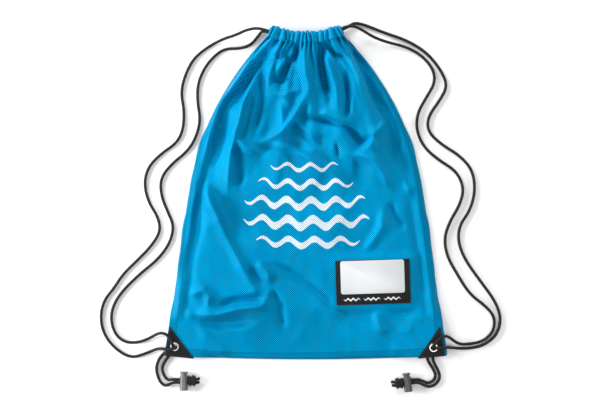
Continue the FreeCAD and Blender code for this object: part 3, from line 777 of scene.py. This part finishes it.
def side_at(v):
    """The side edge's point at a share of its length, from the corner to the mouth."""
    target = v * SIDE[-1][2]
    low, high = 0, len(SIDE) - 1
    while high - low > 1:
        middle = (low + high) // 2
        low, high = (middle, high) if SIDE[middle][2] <= target else (low, middle)
    a, b = SIDE[low], SIDE[high]
    part = (target - a[2]) / (b[2] - a[2])
    return (a[0] + (b[0] - a[0]) * part, a[1] + (b[1] - a[1]) * part)


def corner_lift(x, y):
    """How far the two raised bottom corners stand above the floor."""
    away = max(CORNER[0] - abs(x), y - CORNER[1])
    return CORNER_LIFT * min(1.0, max(0.0, (CORNER_FLAT + CORNER_RAMP - away) / CORNER_RAMP))


def on_mouth(radius, angle):
    """A point of the mouth's arc."""
    return (radius * math.sin(angle), MOUTH_CENTRE - radius * math.cos(angle))


def gathers(u, count, shift=0.0):
    """How far into its ruffle a point of the mouth is, 0 in a valley and 1 on a crest."""
    phase = count * (u + 1.0) / 2.0 + 0.36 * math.sin(5.1 * u + 0.7 + shift) \
        + 0.22 * math.sin(12.7 * u + 2.0 * shift)
    return abs(math.sin(math.pi * phase)) ** 0.62


def uneven(u, shift=0.0):
    """Slow changes of the ruffles' size along the mouth."""
    return 1.0 + 0.28 * math.sin(8.3 * u + 1.2 + shift) \
        + 0.16 * math.sin(19.0 * u + 0.4 + shift)


# ------------------------------------------------------------------ stage
class BACKPACK_OT_stage(bpy.types.Operator):
    """Add the camera, the pale floor and the soft lights"""

    bl_idname = "backpack.stage"
    bl_label = "Camera, floor and lights"

    def execute(self, context):
        scene = context.scene
        deselect()
        bpy.ops.object.camera_add(location=CAMERA_PLACE, rotation=(0, 0, 0))
        camera = context.object
        camera.data.lens = CAMERA_LENS
        camera.data.clip_end = 50.0
        scene.camera = camera
        deselect()
        bpy.ops.mesh.primitive_plane_add(size=8.0, location=(0, 0, -0.3 * MM))
        floor = context.object
        floor.name = "pale_floor"
        settle_origin(floor)
        floor.data.materials.append(finish_of("floor"))
        world = bpy.data.worlds.new("Studio")
        world.use_nodes = True
        back = world.node_tree.nodes["Background"].inputs
        back["Color"].default_value = (1.0, 1.0, 1.0, 1.0)
        back["Strength"].default_value = WORLD_STRENGTH
        scene.world = world
        for x, y, z, size, power in LIGHTS:
            deselect()
            bpy.ops.object.light_add(type="AREA", location=(x, y, z))
            light = context.object
            light.data.size, light.data.energy = size, power
            light.rotation_euler = (-Vector((x, y, z))).to_track_quat("-Z", "Y").to_euler()
        scene.view_settings.view_transform = "Standard"
        return {"FINISHED"}


# ------------------------------------------------------------------ cords
def nurbs(name, routes, radius):
    """Round NURBS curves of order three, each from a list of control points in metres."""
    curve = bpy.data.curves.new(name, "CURVE")
    curve.dimensions = "3D"
    for route in routes:
        spline = curve.splines.new("NURBS")
        spline.points.add(len(route) - 1)
        for point, place in zip(spline.points, route):
            point.co = (*place, 1.0)
        spline.use_endpoint_u = True
        spline.order_u = 3
        spline.resolution_u = 8
    curve.bevel_depth = radius
    curve.bevel_resolution = 4
    curve.use_fill_caps = True
    piece = bpy.data.objects.new(name, curve)
    bpy.context.scene.collection.objects.link(piece)
    return piece


def lock_place(side, across, along, up):
    """A place in metres, from one in millimetres at a lock's closed end and in its turn."""
    (x, y), degrees, _ = LOCKS[side]
    turn = math.radians(degrees)
    return ((x + across * math.cos(turn) - along * math.sin(turn)) * MM,
            (y + across * math.sin(turn) + along * math.cos(turn)) * MM,
            LOCK_AXIS_Z + up * MM)


def knot_strands(side):
    """Two strands wound round each other, and their two cut ends, in metres."""
    away = LOCKS[side][2]
    first = [(-7.0, 2.05, 0.0), (-4.8, 3.6, 0.6), (-3.2, 5.6, 1.6), (-3.0, 3.0, 3.6),
             (-2.6, -2.6, 3.5), (-2.4, -6.0, 0.8), (-2.6, -4.2, -2.9), (-1.4, 1.6, -3.2),
             (0.6, 5.0, -2.4), (1.2, 6.0, 0.4), (1.0, 3.2, 3.5), (0.2, -1.8, 3.7),
             (2.4, -2.6, 1.0), (4.4, 1.2, 0.6), (6.4, 2.4, 0.2), (10.1, 2.9, -1.3)]
    second = [(-7.0, -2.05, 0.0), (-5.0, -3.6, -0.6), (-2.2, -4.6, -1.9), (1.4, -3.0, -3.2),
              (3.0, 2.4, -3.1), (3.1, 6.0, -0.6), (3.2, 4.2, 2.9), (2.9, -1.2, 3.5),
              (2.2, -5.6, 2.2), (2.6, -4.9, -0.6), (4.4, -2.6, -0.8), (10.0, -1.8, -1.6)]
    return [[lock_place(side, away * (out + KNOT_CENTRE[0]), wide + KNOT_CENTRE[1], up)
             for out, wide, up in strand] for strand in (first, second)]


class BACKPACK_OT_cords(bpy.types.Operator):
    """Lay the four free cords, their hidden runs through the tunnels, and the knots"""

    bl_idname = "backpack.cords"
    bl_label = "Cords and knots"

    def execute(self, context):
        radius = context.scene.backpack.cord_diameter / 2.0
        knots = {}
        for side in ("left", "right"):
            knot = nurbs(side + "_tied_knot", knot_strands(side), radius * 0.98)
            knots[side] = hand_in(knot, "cord", stands_for=[side + "_knot"])
        for node, route in CORD_ROUTES.items():
            route = [tuple(c * MM for c in point) for point in route]
            piece = nurbs("braided_" + node, [route], radius)
            hand_in(piece, "cord", stands_for=[node])
            knots[node.split("_")[0]]
        for node, (side, reach) in CORD_RUNS.items():
            there = [on_mouth(reach, side * math.radians(a)) for a in CORD_RUN_ANGLES]
            route = [(*p, FRONT_TUNNEL_Z) for p in there]
            route += [(*p, BACK_TUNNEL_Z) for p in there[::-1]]
            piece = nurbs("braided_" + node, [route], radius)
            hand_in(piece, "cord", stands_for=[node])
        return {"FINISHED"}


# ------------------------------------------------------------------ panels
def panel_point(u, v, front, ruffles):
    """Where a point of a panel's cut starts before it settles; u -1 to 1, v 0 to 1."""
    side_x, side_y = side_at(v)
    middle = 1.0 - u * u
    x = u * side_x + 0.9 * MM * u ** 9 * (math.sin(23 * v) + 0.6 * math.sin(51 * v + 1))
    y = side_y * (1.0 - middle) + (-224.5 * MM + 425.5 * MM * v) * middle
    if v > 0.8:
        k = smooth_step(0.8, 1.0, v)
        mx, my = on_mouth(PANEL_TOP_RADIUS, 0.975 * MOUTH_ANGLE * u)
        x, y = x * (1.0 - k) + mx * k, y * (1.0 - k) + my * k
    from_mouth = (1.0 - v) * PANEL_CUT[1]
    edge = 1.0 - abs(u) ** 6
    near = smooth_step(42 * MM, 0.0, from_mouth)
    folds = smooth_step(0.0, 30 * MM, from_mouth) \
        * smooth_step(160 * MM, 50 * MM, from_mouth)
    wide = smooth_step(30 * MM, 100 * MM, from_mouth) \
        * smooth_step(300 * MM, 120 * MM, from_mouth)
    if front:
        # a low crown, higher in its upper left, falls to the sewn edges
        rise = 5.5 * MM + 2.8 * MM * smooth_step(-40 * MM, 40 * MM, y - 0.35 * x)
        z = 1.5 * MM + rise * smooth_step(0, 0.16, 1 - abs(u)) * smooth_step(0, 0.1, v)
        # the mouth stands on the tunnels, and is ruffled; longer folds run down from it
        z += 11.0 * MM * smooth_step(110 * MM, 0.0, from_mouth) * (1 - 0.15 * abs(u) ** 4)
        pinch = 1.0 - 0.45 * smooth_step(10 * MM, 0.0, from_mouth)
        z += near * pinch * RUFFLE_RISE * uneven(u) * (gathers(u, ruffles) - 0.5)
        z += folds * 1.5 * MM * math.sin(
            math.pi * 13 * (u + 0.05 * math.sin(7 * v)) + 1.0) * edge
        z += wide * 3.2 * MM * math.sin(
            math.pi * 6.5 * (u + 0.08 * math.sin(5 * v + 1)) + 2.2) * edge
        drift = noise.noise(Vector((x * 14, y * 14, 3.3)))
        z += 2.2 * MM * drift * edge * smooth_step(0, 0.08, v)
    else:
        z = 0.3 * MM + 1.5 * MM * near
        z += near * 5.5 * MM * uneven(u, 2.0) * gathers(u, ruffles, 1.7)
        z += folds * 1.6 * MM * (1 + math.sin(math.pi * 13 * u)) * edge
        drift = noise.noise(Vector((x * 11, y * 11, 8.1)))
        z += 0.9 * MM * (1.0 + drift) * edge * smooth_step(0, 0.08, v)
    return (x, y, max(z, 0.7 * MM) + corner_lift(side_x * u, y))


def fold_heights(x, y, narrow=1.0, power=2.0):
    """The height that the listed folds add at arrays of points; narrow scales their width."""
    total = np.zeros_like(x)
    for height, width, points in FOLDS:
        line = np.array(points) * MM
        steps = np.linalg.norm(line[1:] - line[:-1], axis=1)
        nearest, place, run = np.full(x.shape, 9.9), np.zeros_like(x), 0.0
        for start, end, step in zip(line, line[1:], steps):
            way = end - start
            t = np.clip(((x - start[0]) * way[0] + (y - start[1]) * way[1]) / step ** 2, 0, 1)
            gap = np.hypot(x - start[0] - t * way[0], y - start[1] - t * way[1])
            closer = gap < nearest
            nearest = np.where(closer, gap, nearest)
            place = np.where(closer, (run + t * step) / steps.sum(), place)
            run += step
        fade = np.clip(np.minimum(place, 1 - place) / 0.25, 0, 1)
        fade = 0.25 + 0.75 * fade * fade * (3 - 2 * fade)
        total += height * MM * fade * np.exp(-(nearest / (narrow * width * MM)) ** power)
    return total


def panel_sheet(name, front, ruffles):
    """The panel's grid, with its flat cut as a shape key and a UV map, and its pinned edge.

    The Cut map is the flat cut, for the print and the seam band. The Weave map is spread
    evenly over the gathered panel, for the knit's holes.
    """
    nx, ny = PANEL_GRID
    spots = [(-1 + 2 * i / nx, j / ny) for j in range(ny + 1) for i in range(nx + 1)]
    points = np.array([panel_point(u, v, front, ruffles) for u, v in spots])
    cut = [(u * PANEL_CUT[0] / 2, BOTTOM_EDGE + v * PANEL_CUT[1], 0.0) for u, v in spots]
    if front:
        us, vs = np.array(spots).T
        mask = np.clip((1 - abs(us)) / 0.06, 0, 1) * np.clip(vs / 0.05, 0, 1) \
            * np.clip((1 - vs) / 0.03, 0, 1)
        added = points[:, 2] + 1.45 * fold_heights(points[:, 0], points[:, 1]) * mask
        points[:, 2] = np.maximum(1.2 * MM, added)
    piece = new_mesh_piece(name, points, grid_faces(nx, ny))
    weave = [(u * side_at(v)[0], BOTTOM_EDGE + v * PANEL_CUT[1]) for u, v in spots]
    for title, spread in (("Cut", cut), ("Weave", weave)):
        uv = piece.data.uv_layers.new(name=title)
        for loop in piece.data.loops:
            uv.data[loop.index].uv = spread[loop.vertex_index][:2]
    piece.shape_key_add(name="Basis")
    key = piece.shape_key_add(name="flat cut")
    for index, place in enumerate(cut):
        key.data[index].co = place
    key.value = 0.0
    rim = piece.vertex_groups.new(name="sewn edge")
    rim.add([j * (nx + 1) + i for j in range(ny + 1) for i in range(nx + 1)
             if j in (0, ny) or i in (0, nx)], 1.0, "REPLACE")
    return piece


def settle_cloth(piece, frames):
    """Let the panel settle on the floor from its gathered start, as its flat cut allows."""
    scene = bpy.context.scene
    deselect()
    bpy.ops.mesh.primitive_plane_add(size=2.0, location=(0, 0, 0.8 * MM))
    ground = bpy.context.object
    ground.modifiers.new("ground", "COLLISION")
    ground.collision.thickness_outer = 1 * MM
    ground.collision.cloth_friction = 8.0
    cloth = piece.modifiers.new("settle", "CLOTH")
    s = cloth.settings
    s.quality, s.mass, s.air_damping = 8, 0.0003, 4.0
    s.vertex_group_mass = "sewn edge"
    s.tension_stiffness = s.compression_stiffness = 30.0
    s.shear_stiffness, s.bending_stiffness = 7.5, 0.02
    s.tension_damping = s.compression_damping = s.shear_damping = 5.0
    s.bending_damping = 0.5
    s.effector_weights.gravity = 0.3
    s.rest_shape_key = piece.data.shape_keys.key_blocks["flat cut"]
    cloth.collision_settings.distance_min = 1 * MM
    cloth.collision_settings.use_self_collision = False
    cloth.point_cache.frame_end = frames + 1
    scene.frame_start, scene.frame_end = 1, frames + 1
    for at in range(1, frames + 1):
        scene.frame_set(at)
    replace_mesh(piece, final_mesh(piece))
    bpy.data.objects.remove(ground)
    scene.frame_set(1)


def map_strip(piece, cut):
    """The Cut and Weave UV maps of a strip, from one list of places in metres."""
    for name in ("Cut", "Weave"):
        uv = piece.data.uv_layers.new(name=name)
        for loop in piece.data.loops:
            uv.data[loop.index].uv = cut[loop.vertex_index]


def replace_mesh(piece, mesh):
    """Swap in a plain mesh, without the shape keys and modifiers that made it."""
    piece.modifiers.clear()
    old = piece.data
    piece.data = mesh
    mesh.name = piece.name
    piece.vertex_groups.clear()
    bpy.data.meshes.remove(old)


def sharpen_folds(piece, ruffles):
    """Raise the listed folds again where the settling has softened them, and add creases."""
    x, y = np.array([vertex.co.xy for vertex in piece.data.vertices]).T
    inside = np.array([min(1.0, (half_width(b) - abs(a)) / (14 * MM)) for a, b in zip(x, y)])
    inside = np.clip(inside, 0, 1) * np.clip((y - BOTTOM_EDGE) / (20 * MM), 0, 1) \
        * np.clip((MOUTH_TOP - 4 * MM - y) / (20 * MM), 0, 1)
    added = 1.1 * fold_heights(x, y, 0.8, 1.4)
    uv = piece.data.uv_layers["Cut"].data
    cut = {loop.vertex_index: uv[loop.index].uv for loop in piece.data.loops}
    # the ruffles of the mouth, a little bent on their way down
    for vertex in piece.data.vertices:
        across, up = cut[vertex.index]
        u, down = across / (PANEL_CUT[0] / 2), PANEL_CUT[1] - (up - BOTTOM_EDGE)
        near = smooth_step(78 * MM, 0.0, down) * (1.0 - 0.5 * smooth_step(5 * MM, 0.0, down))
        bend = u + 0.05 * math.sin(down / (17 * MM)) * smooth_step(10 * MM, 60 * MM, down)
        vertex.co.z += near * RUFFLE_RISE * uneven(u) * (gathers(bend, ruffles) - 0.62)
    for vertex, height, held in zip(piece.data.vertices, added, inside):
        # the listed folds, with small creases between them
        x, y, z = vertex.co
        ridge = 1.0 - 2.6 * abs(noise.noise(Vector((x * 19, y * 13, 5.5))))
        ridge += 0.5 * (1.0 - 2.6 * abs(noise.noise(Vector((x * 41, y * 33, 1.5)))))
        z = max(CLOTH_BED, z + float(held) * (height + 1.3 * MM * ridge))
        # the allowance inside makes a soft roll along each side
        edge = half_width(y) - abs(x)
        rolled = smooth_step(-195 * MM, -150 * MM, y) * smooth_step(190 * MM, 140 * MM, y)
        z += rolled * 2.8 * MM * math.exp(-((edge - 9 * MM) / (5 * MM)) ** 2)
        z -= rolled * 2.2 * MM * math.exp(-((edge - 20 * MM) / (5 * MM)) ** 2)
        if z > CALM_HEIGHT:
            z = CALM_HEIGHT + CALM_RANGE * (1.0 - math.exp((CALM_HEIGHT - z) / CALM_RANGE))
        vertex.co.z = max(CLOTH_BED, z)


def press_under_trim(piece):
    """Lower the cloth under the label, and lay it flat between the corner patches."""
    for vertex in piece.data.vertices:
        x, y, z = vertex.co
        dx = max(0.0, abs(x - LABEL_CENTRE[0]) - 52 * MM)
        dy = max(0.0, abs(y - LABEL_CENTRE[1]) - 32 * MM)
        held = smooth_step((26 if z > LABEL_BED else 12) * MM, 0.0, math.hypot(dx, dy))
        z = z * (1 - held) + LABEL_BED * held
        corner_gap = max(CORNER[0] - abs(x), y - CORNER[1])
        flat = smooth_step(CORNER_FLAT + 12 * MM, CORNER_FLAT - 4 * MM, corner_gap)
        vertex.co.z = z * (1 - flat) + PATCH_BED * flat


def open_eyelet_holes(piece):
    """Open the cloth where the two eyelets go through."""
    mesh = bmesh.new()
    mesh.from_mesh(piece.data)
    for centre in EYELETS.values():
        at = Vector(centre)
        gone = [f for f in mesh.faces if (f.calc_center_median().xy - at).length < CLOTH_HOLE]
        bmesh.ops.delete(mesh, geom=gone, context="FACES")
    mesh.to_mesh(piece.data)
    mesh.free()
    clear_eyelet_bores(piece)


def clear_eyelet_bores(piece):
    """Push the cloth's edge out of the two eyelets."""
    for centre in EYELETS.values():
        at = Vector(centre)
        for vertex in piece.data.vertices:
            away = vertex.co.xy - at
            if 0 < away.length < CLOTH_BORE:
                vertex.co.xy = at + away.normalized() * CLOTH_BORE


def round_facets(piece):
    """Smooth the cloth's facets."""
    smooth = piece.modifiers.new("smooth", "SUBSURF")
    smooth.levels = smooth.render_levels = 1
    use_modifiers(piece)


def finish_cloth(piece, thickness):
    """Give the cloth its thickness."""
    wall = piece.modifiers.new("thickness", "SOLIDIFY")
    wall.thickness, wall.offset = thickness, -1.0
    use_modifiers(piece)
    smooth_faces(piece)


class BACKPACK_OT_panels(bpy.types.Operator):
    """Gather the front and back panels from their flat cuts and let the front settle"""

    bl_idname = "backpack.panels"
    bl_label = "Mesh panels"

    def execute(self, context):
        s = context.scene.backpack
        front = panel_sheet("front_mesh_panel", True, s.ruffles)
        settle_cloth(front, s.settle_frames)
        back = panel_sheet("back_mesh_panel", False, s.ruffles)
        replace_mesh(back, final_mesh(back))
        for piece, finish, node in ((front, "front", "front_panel"),
                                    (back, "mesh", "back_panel")):
            open_eyelet_holes(piece)
            round_facets(piece)
            clear_eyelet_bores(piece)
            if piece == front:
                sharpen_folds(piece, s.ruffles)
                press_under_trim(piece)
            finish_cloth(piece, s.fabric_thickness)
            hand_in(piece, finish, stands_for=[node])
        return {"FINISHED"}


# ------------------------------------------------------------------ seams and tunnels
def seam_band(name, line, node):
    """A folded seam allowance along an edge line, as a thin doubled strip."""
    points, cut, run = [], [], 0.0
    across = 4
    for k, (x, y, inward) in enumerate(line):
        if k:
            run += math.dist((x, y), line[k - 1][:2])
        gap = min(math.dist((x, y), centre) for centre in EYELETS.values())
        reach = SEAM_INSET * (1.0 - 0.55 * smooth_step(24 * MM, 13 * MM, gap))
        for m in range(across + 1):
            part = m / across
            px, py = x + inward[0] * reach * part, y + inward[1] * reach * part
            ripple = 0.15 * MM * math.sin(run / (9 * MM)) * part
            points.append((px, py, 0.9 * MM + corner_lift(px, py) + ripple))
            cut.append((run, PANEL_CUT[0] + part * SEAM_INSET))
    piece = new_mesh_piece(name, points, grid_faces(across, len(line) - 1))
    map_strip(piece, cut)
    face_outwards(piece)
    finish_cloth(piece, SEAM_THICKNESS)
    return hand_in(piece, "mesh", stands_for=[node])


def tunnel_surface(u, t, ruffles, height, shift):
    """A point of a gathered tunnel: u along the mouth, t round it from the bag's side."""
    crest = gathers(u, ruffles, shift)
    size = uneven(u, shift)
    ends = smooth_step(0.84, 1.0, abs(u))
    side = math.cos(t)
    tall = (3.3 + 2.8 * crest * size) * MM
    wide = (6.6 + 0.7 * crest * size) * MM
    lean = 1.5 * MM * math.sin(9.0 * u + shift) + 0.9 * MM * math.sin(31.0 * u)
    rim = max(0.0, -side)
    blunt = 1.0 - 0.34 * rim * smooth_step(0.92, 1.0, abs(u))
    drawn_in = rim * (1.7 * crest * size * (1.0 - 0.6 * ends) - 0.5 + 1.3 * ends) * MM
    radial = wide * (side if side < 0 else 1.25 * side) * blunt - drawn_in
    over = math.sin(t)
    if side > 0 and over > 0:
        over = over ** 0.5
    up = tall * over + 1.9 * MM * uneven(u) * (crest - 0.5) * (0.5 + 0.5 * side)
    up += 0.5 * MM * noise.noise(Vector((46 * u, 2.4 * side, shift + math.sin(t))))
    if over < 0:
        up *= 0.8
    closing = 1.0 - 0.10 * smooth_step(0.97, 1.0, abs(u))
    angle = MOUTH_ANGLE * 0.968 * u + lean * side / MOUTH_RADIUS
    x, y = on_mouth(MOUTH_RADIUS + radial * closing - 0.6 * MM * ends, angle)
    return Vector((x, y, max(0.15 * MM, height + up * closing)))


class BACKPACK_OT_tunnels(bpy.types.Operator):
    """Sew the two gathered tunnels and the seam allowances between the panels"""

    bl_idname = "backpack.tunnels"
    bl_label = "Tunnels and seams"

    def execute(self, context):
        s = context.scene.backpack
        along, around = TUNNEL_GRID
        for name, node, height, shift in (
                ("front_gathered_tunnel", "front_tunnel", FRONT_TUNNEL_Z, 0.0),
                ("back_gathered_tunnel", "back_tunnel", BACK_TUNNEL_Z + 0.6 * MM, 1.7)):
            points, cut, faces = [], [], []
            for i in range(along + 1):
                u = -1.0 + 2.0 * i / along
                for k in range(around):
                    t = 2.0 * math.pi * k / around
                    points.append(tunnel_surface(u, t, s.ruffles, height, shift))
                    cut.append((u * 76 * MM, 0.5 + 30 * MM * k / around))
            for i in range(along):
                for k in range(around):
                    a, b = i * around + k, i * around + (k + 1) % around
                    faces.append((a, a + around, b + around, b))
            piece = new_mesh_piece(name, points, faces)
            map_strip(piece, cut)
            face_outwards(piece)
            finish_cloth(piece, s.fabric_thickness)
            hand_in(piece, "mesh", stands_for=[node])
        for sign, name in ((-1.0, "left"), (1.0, "right")):
            line = []
            for k in range(SEAM_STEPS + 1):
                x, y = side_at(0.985 * k / SEAM_STEPS)
                line.append((sign * (x - 0.4 * MM), y, (-sign, 0.0)))
            seam_band(name + "_seam_allowance", line, name + "_side_seam")
        line = []
        for k in range(SEAM_STEPS + 1):
            u = -1.0 + 2.0 * k / SEAM_STEPS
            line.append((u * 178 * MM, panel_point(u * 0.937, 0.0, False, 1)[1] + 0.3 * MM,
                         (0.0, 1.0)))
        seam_band("bottom_seam_allowance", line, "bottom_seam")
        return {"FINISHED"}


# ------------------------------------------------------------------ corners and label
def patch_outline(side):
    """Corners of a triangular patch, anticlockwise."""
    (x, y), inset = CORNER, PATCH_INSET[side]
    edge = half_width(y + CORNER_FLAT)
    points = [(x - inset, y - 0.1 * inset),
              (x + (edge - x) * PATCH_SHARE - inset, y + CORNER_FLAT * PATCH_SHARE),
              (x - CORNER_FLAT * PATCH_SHARE, y - 4.5 * MM * PATCH_SHARE)]
    if side == "left":
        return [(-x, y) for x, y in points][::-1]
    return points


def leather_plate(name, outline, low, thickness, rounding):
    """A flat leather piece with rounded corners and softened edges."""
    deselect()
    bpy.ops.mesh.primitive_circle_add(vertices=len(outline), radius=10 * MM,
                                      fill_type="NGON", location=(0, 0, 0))
    piece = bpy.context.object
    piece.name = piece.data.name = name
    for vertex, (x, y) in zip(piece.data.vertices, outline):
        vertex.co = (x, y, low)
    bpy.ops.object.mode_set(mode="EDIT")
    bpy.ops.mesh.select_all(action="SELECT")
    bpy.ops.mesh.bevel(offset=rounding, segments=4, affect="VERTICES")
    bpy.ops.mesh.select_all(action="SELECT")
    bpy.ops.mesh.extrude_region_move(TRANSFORM_OT_translate={"value": (0, 0, thickness)})
    bpy.ops.object.mode_set(mode="OBJECT")
    face_outwards(piece)
    soft = piece.modifiers.new("soft edge", "BEVEL")
    soft.width, soft.segments, soft.limit_method = 0.28 * thickness, 2, "ANGLE"
    use_modifiers(piece)
    return piece


def punch(piece, centre, radius):
    """Cut a round hole down through a piece."""
    deselect()
    bpy.ops.mesh.primitive_cylinder_add(vertices=40, radius=radius, depth=30 * MM,
                                        location=(*centre, 7 * MM))
    tool = bpy.context.object
    cut = piece.modifiers.new("hole", "BOOLEAN")
    cut.operation, cut.object, cut.solver = "DIFFERENCE", tool, "EXACT"
    use_modifiers(piece)
    bpy.data.objects.remove(tool)


def stitches(name, lines, node, level=0.0, length=2.4 * MM, gap=0.9 * MM,
             radius=0.28 * MM, finish="thread"):
    """Rows of stitches along lines: one stitch is modelled and copied."""
    deselect()
    bpy.ops.mesh.primitive_uv_sphere_add(segments=8, ring_count=6, radius=1.0)
    model = bpy.context.object
    shape = [Vector((v.co.z * length / 2, v.co.y * radius, v.co.x * radius * 0.8))
             for v in model.data.vertices]
    facets = [tuple(p.vertices) for p in model.data.polygons]
    bpy.data.objects.remove(model)
    points, faces = [], []
    pitch = length + gap
    for line in lines:
        run = sum((Vector(b) - Vector(a)).length for a, b in zip(line, line[1:]))
        count = max(1, int(run / pitch))
        for k in range(count):
            middle, way = along_line(line, (k + 0.5) / count)
            across = Vector((-way.y, way.x, 0.0)).normalized()
            normal = way.cross(across)
            base = len(points)
            points += [middle + way * p.x + across * p.y + normal * p.z
                       + Vector((0, 0, level)) for p in shape]
            faces += [tuple(base + i for i in facet) for facet in facets]
    piece = new_mesh_piece(name, points, faces)
    face_outwards(piece)
    smooth_faces(piece)
    return hand_in(piece, finish, stands_for=[node])


def along_line(line, share):
    """The point at a share of a line's length, and the line's direction there."""
    line = [Vector(p) for p in line]
    lengths = [(b - a).length for a, b in zip(line, line[1:])]
    target = share * sum(lengths)
    for a, b, length in zip(line, line[1:], lengths):
        if target <= length:
            return a + (b - a) * (target / length), (b - a).normalized()
        target -= length
    return line[-1], (line[-1] - line[-2]).normalized()


def inset_outline(points, inset):
    """A convex outline moved inwards; its points run anticlockwise."""
    result = []
    count = len(points)
    for k in range(count):
        before, at, after = (Vector(points[(k + d) % count]) for d in (-1, 0, 1))
        u, v = (at - before).normalized(), (after - at).normalized()
        inward = (Vector((-u.y, u.x)) + Vector((-v.y, v.x))).normalized()
        half = math.sqrt(max(0.02, (1.0 + u.dot(v)) / 2.0))
        result.append(tuple(at + inward * inset / half))
    return result


def stitch_line(outline, inset, level):
    """The closed line of a row of stitches inside an outline, one piece to a side."""
    ring = inset_outline(outline, inset)
    return [[(*a, level), (*b, level)] for a, b in zip(ring, ring[1:] + ring[:1])]


class BACKPACK_OT_corners(bpy.types.Operator):
    """Sew the leather corner patches and finish the eyelets"""

    bl_idname = "backpack.corners"
    bl_label = "Corner patches and eyelets"

    def execute(self, context):
        for side in ("left", "right"):
            outline = patch_outline(side)
            for face, level in PATCH_LEVELS.items():
                piece = leather_plate("%s_%s_leather" % (side, face), outline, level,
                                      LEATHER, PATCH_ROUNDING)
                punch(piece, EYELETS[side], EYELET_BORE)
                smooth_edges(piece)
                hand_in(piece, "leather",
                        stands_for=["%s_%s_patch" % (side, face)])
            lines = stitch_line(outline, PATCH_STITCH_INSET, PATCH_LEVELS["front"] + LEATHER)
            stitches(side + "_patch_thread", lines, side + "_patch_stitching")
            for part in ("_eyelet", "_eyelet_washer"):
                finish_node(side + part, "eyelet")
        return {"FINISHED"}


class BACKPACK_OT_label(bpy.types.Operator):
    """Sew on the label with its pale card"""

    bl_idname = "backpack.label"
    bl_label = "Label"

    def execute(self, context):
        s = context.scene.backpack
        turn = Matrix.Rotation(LABEL_TURN, 2)

        def oblong(width, height, offset):
            corners = ((-1, -1), (1, -1), (1, 1), (-1, 1))
            return [tuple(Vector(LABEL_CENTRE) + turn @ Vector(
                (offset[0] + a * width / 2, offset[1] + b * height / 2))) for a, b in corners]

        face = LABEL_LEVEL + LEATHER
        outline = oblong(s.label_width, s.label_height, (0.0, 0.0))
        piece = leather_plate("sewn_label", outline, LABEL_LEVEL, LEATHER,
                              LABEL_ROUNDING)
        smooth_edges(piece)
        hand_in(piece, "label", stands_for=["label_patch"])
        window = oblong(*CARD_SIZE, CARD_OFFSET)
        card = leather_plate("label_card_window", window, face, CARD_THICKNESS,
                             CARD_ROUNDING)
        smooth_edges(card)
        hand_in(card, "card", stands_for=["label_insert"])
        lines = stitch_line(outline, LABEL_STITCH_INSET, face)
        stitches("label_thread", lines, "label_stitching", radius=0.22 * MM)
        line = [tunnel_surface(-1.0 + 2.0 * k / 300, 0.95, s.ruffles, FRONT_TUNNEL_Z, 0.0)
                for k in range(6, 295)]
        stitches("tunnel_thread", [line], "front_tunnel_stitching", level=0.12 * MM,
                 length=2.2 * MM, radius=0.2 * MM, finish="blue_thread")
        return {"FINISHED"}


# ------------------------------------------------------------------ cord locks
class BACKPACK_OT_locks(bpy.types.Operator):
    """Finish the two cord locks and wind their springs"""

    bl_idname = "backpack.locks"
    bl_label = "Cord locks"

    def execute(self, context):
        steps = SPRING_TURNS * SPRING_STEPS
        low, high = SPRING_SPAN
        for side, (_, degrees, _) in LOCKS.items():
            for part in ("_lock_barrel", "_lock_plunger"):
                finish_node(side + part, side + "_lock")
            route = []
            for k in range(steps + 1):
                angle = 2.0 * math.pi * k / SPRING_STEPS
                route.append(lock_place(side, SPRING_RADIUS * math.cos(angle),
                                        low + (high - low) * k / steps,
                                        SPRING_RADIUS * math.sin(angle)))
            coil = nurbs(side + "_coil", [route], SPRING_WIRE * MM)
            coil.data.splines[0].resolution_u = 2
            coil.data.bevel_resolution = 2
            spring = bpy.data.objects.new(side + "_wound_spring", final_mesh(coil))
            bpy.data.objects.remove(coil)
            context.scene.collection.objects.link(spring)
            hand_in(spring, "spring", body=side + "_lock",
                    stands_for=[side + "_lock_spring"])
            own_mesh(spring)
        return {"FINISHED"}


# ------------------------------------------------------------------ panel and registration
STEPS = ("stage", "cords", "panels", "tunnels", "corners", "label", "locks")


class BACKPACK_PT_sidebar(bpy.types.Panel):
    """Lists the backpack's pieces and settings"""

    bl_idname = "BACKPACK_PT_sidebar"
    bl_label = "Backpack"
    bl_space_type = "VIEW_3D"
    bl_region_type = "UI"
    bl_category = "Backpack"

    def draw(self, context):
        for name in BackpackSettings.__annotations__:
            self.layout.prop(context.scene.backpack, name)
        for step in STEPS:
            self.layout.operator("backpack." + step)


CLASSES = (BackpackSettings, BACKPACK_OT_stage, BACKPACK_OT_cords, BACKPACK_OT_panels,
           BACKPACK_OT_tunnels, BACKPACK_OT_corners, BACKPACK_OT_label, BACKPACK_OT_locks,
           BACKPACK_PT_sidebar)


def register():
    for each in CLASSES:
        bpy.utils.register_class(each)
    bpy.types.Scene.backpack = PointerProperty(type=BackpackSettings)


def unregister():
    del bpy.types.Scene.backpack
    for each in reversed(CLASSES):
        bpy.utils.unregister_class(each)


def main():
    register()
    for step in STEPS:
        getattr(bpy.ops.backpack, step)()


if __name__ == "__main__":
    main()
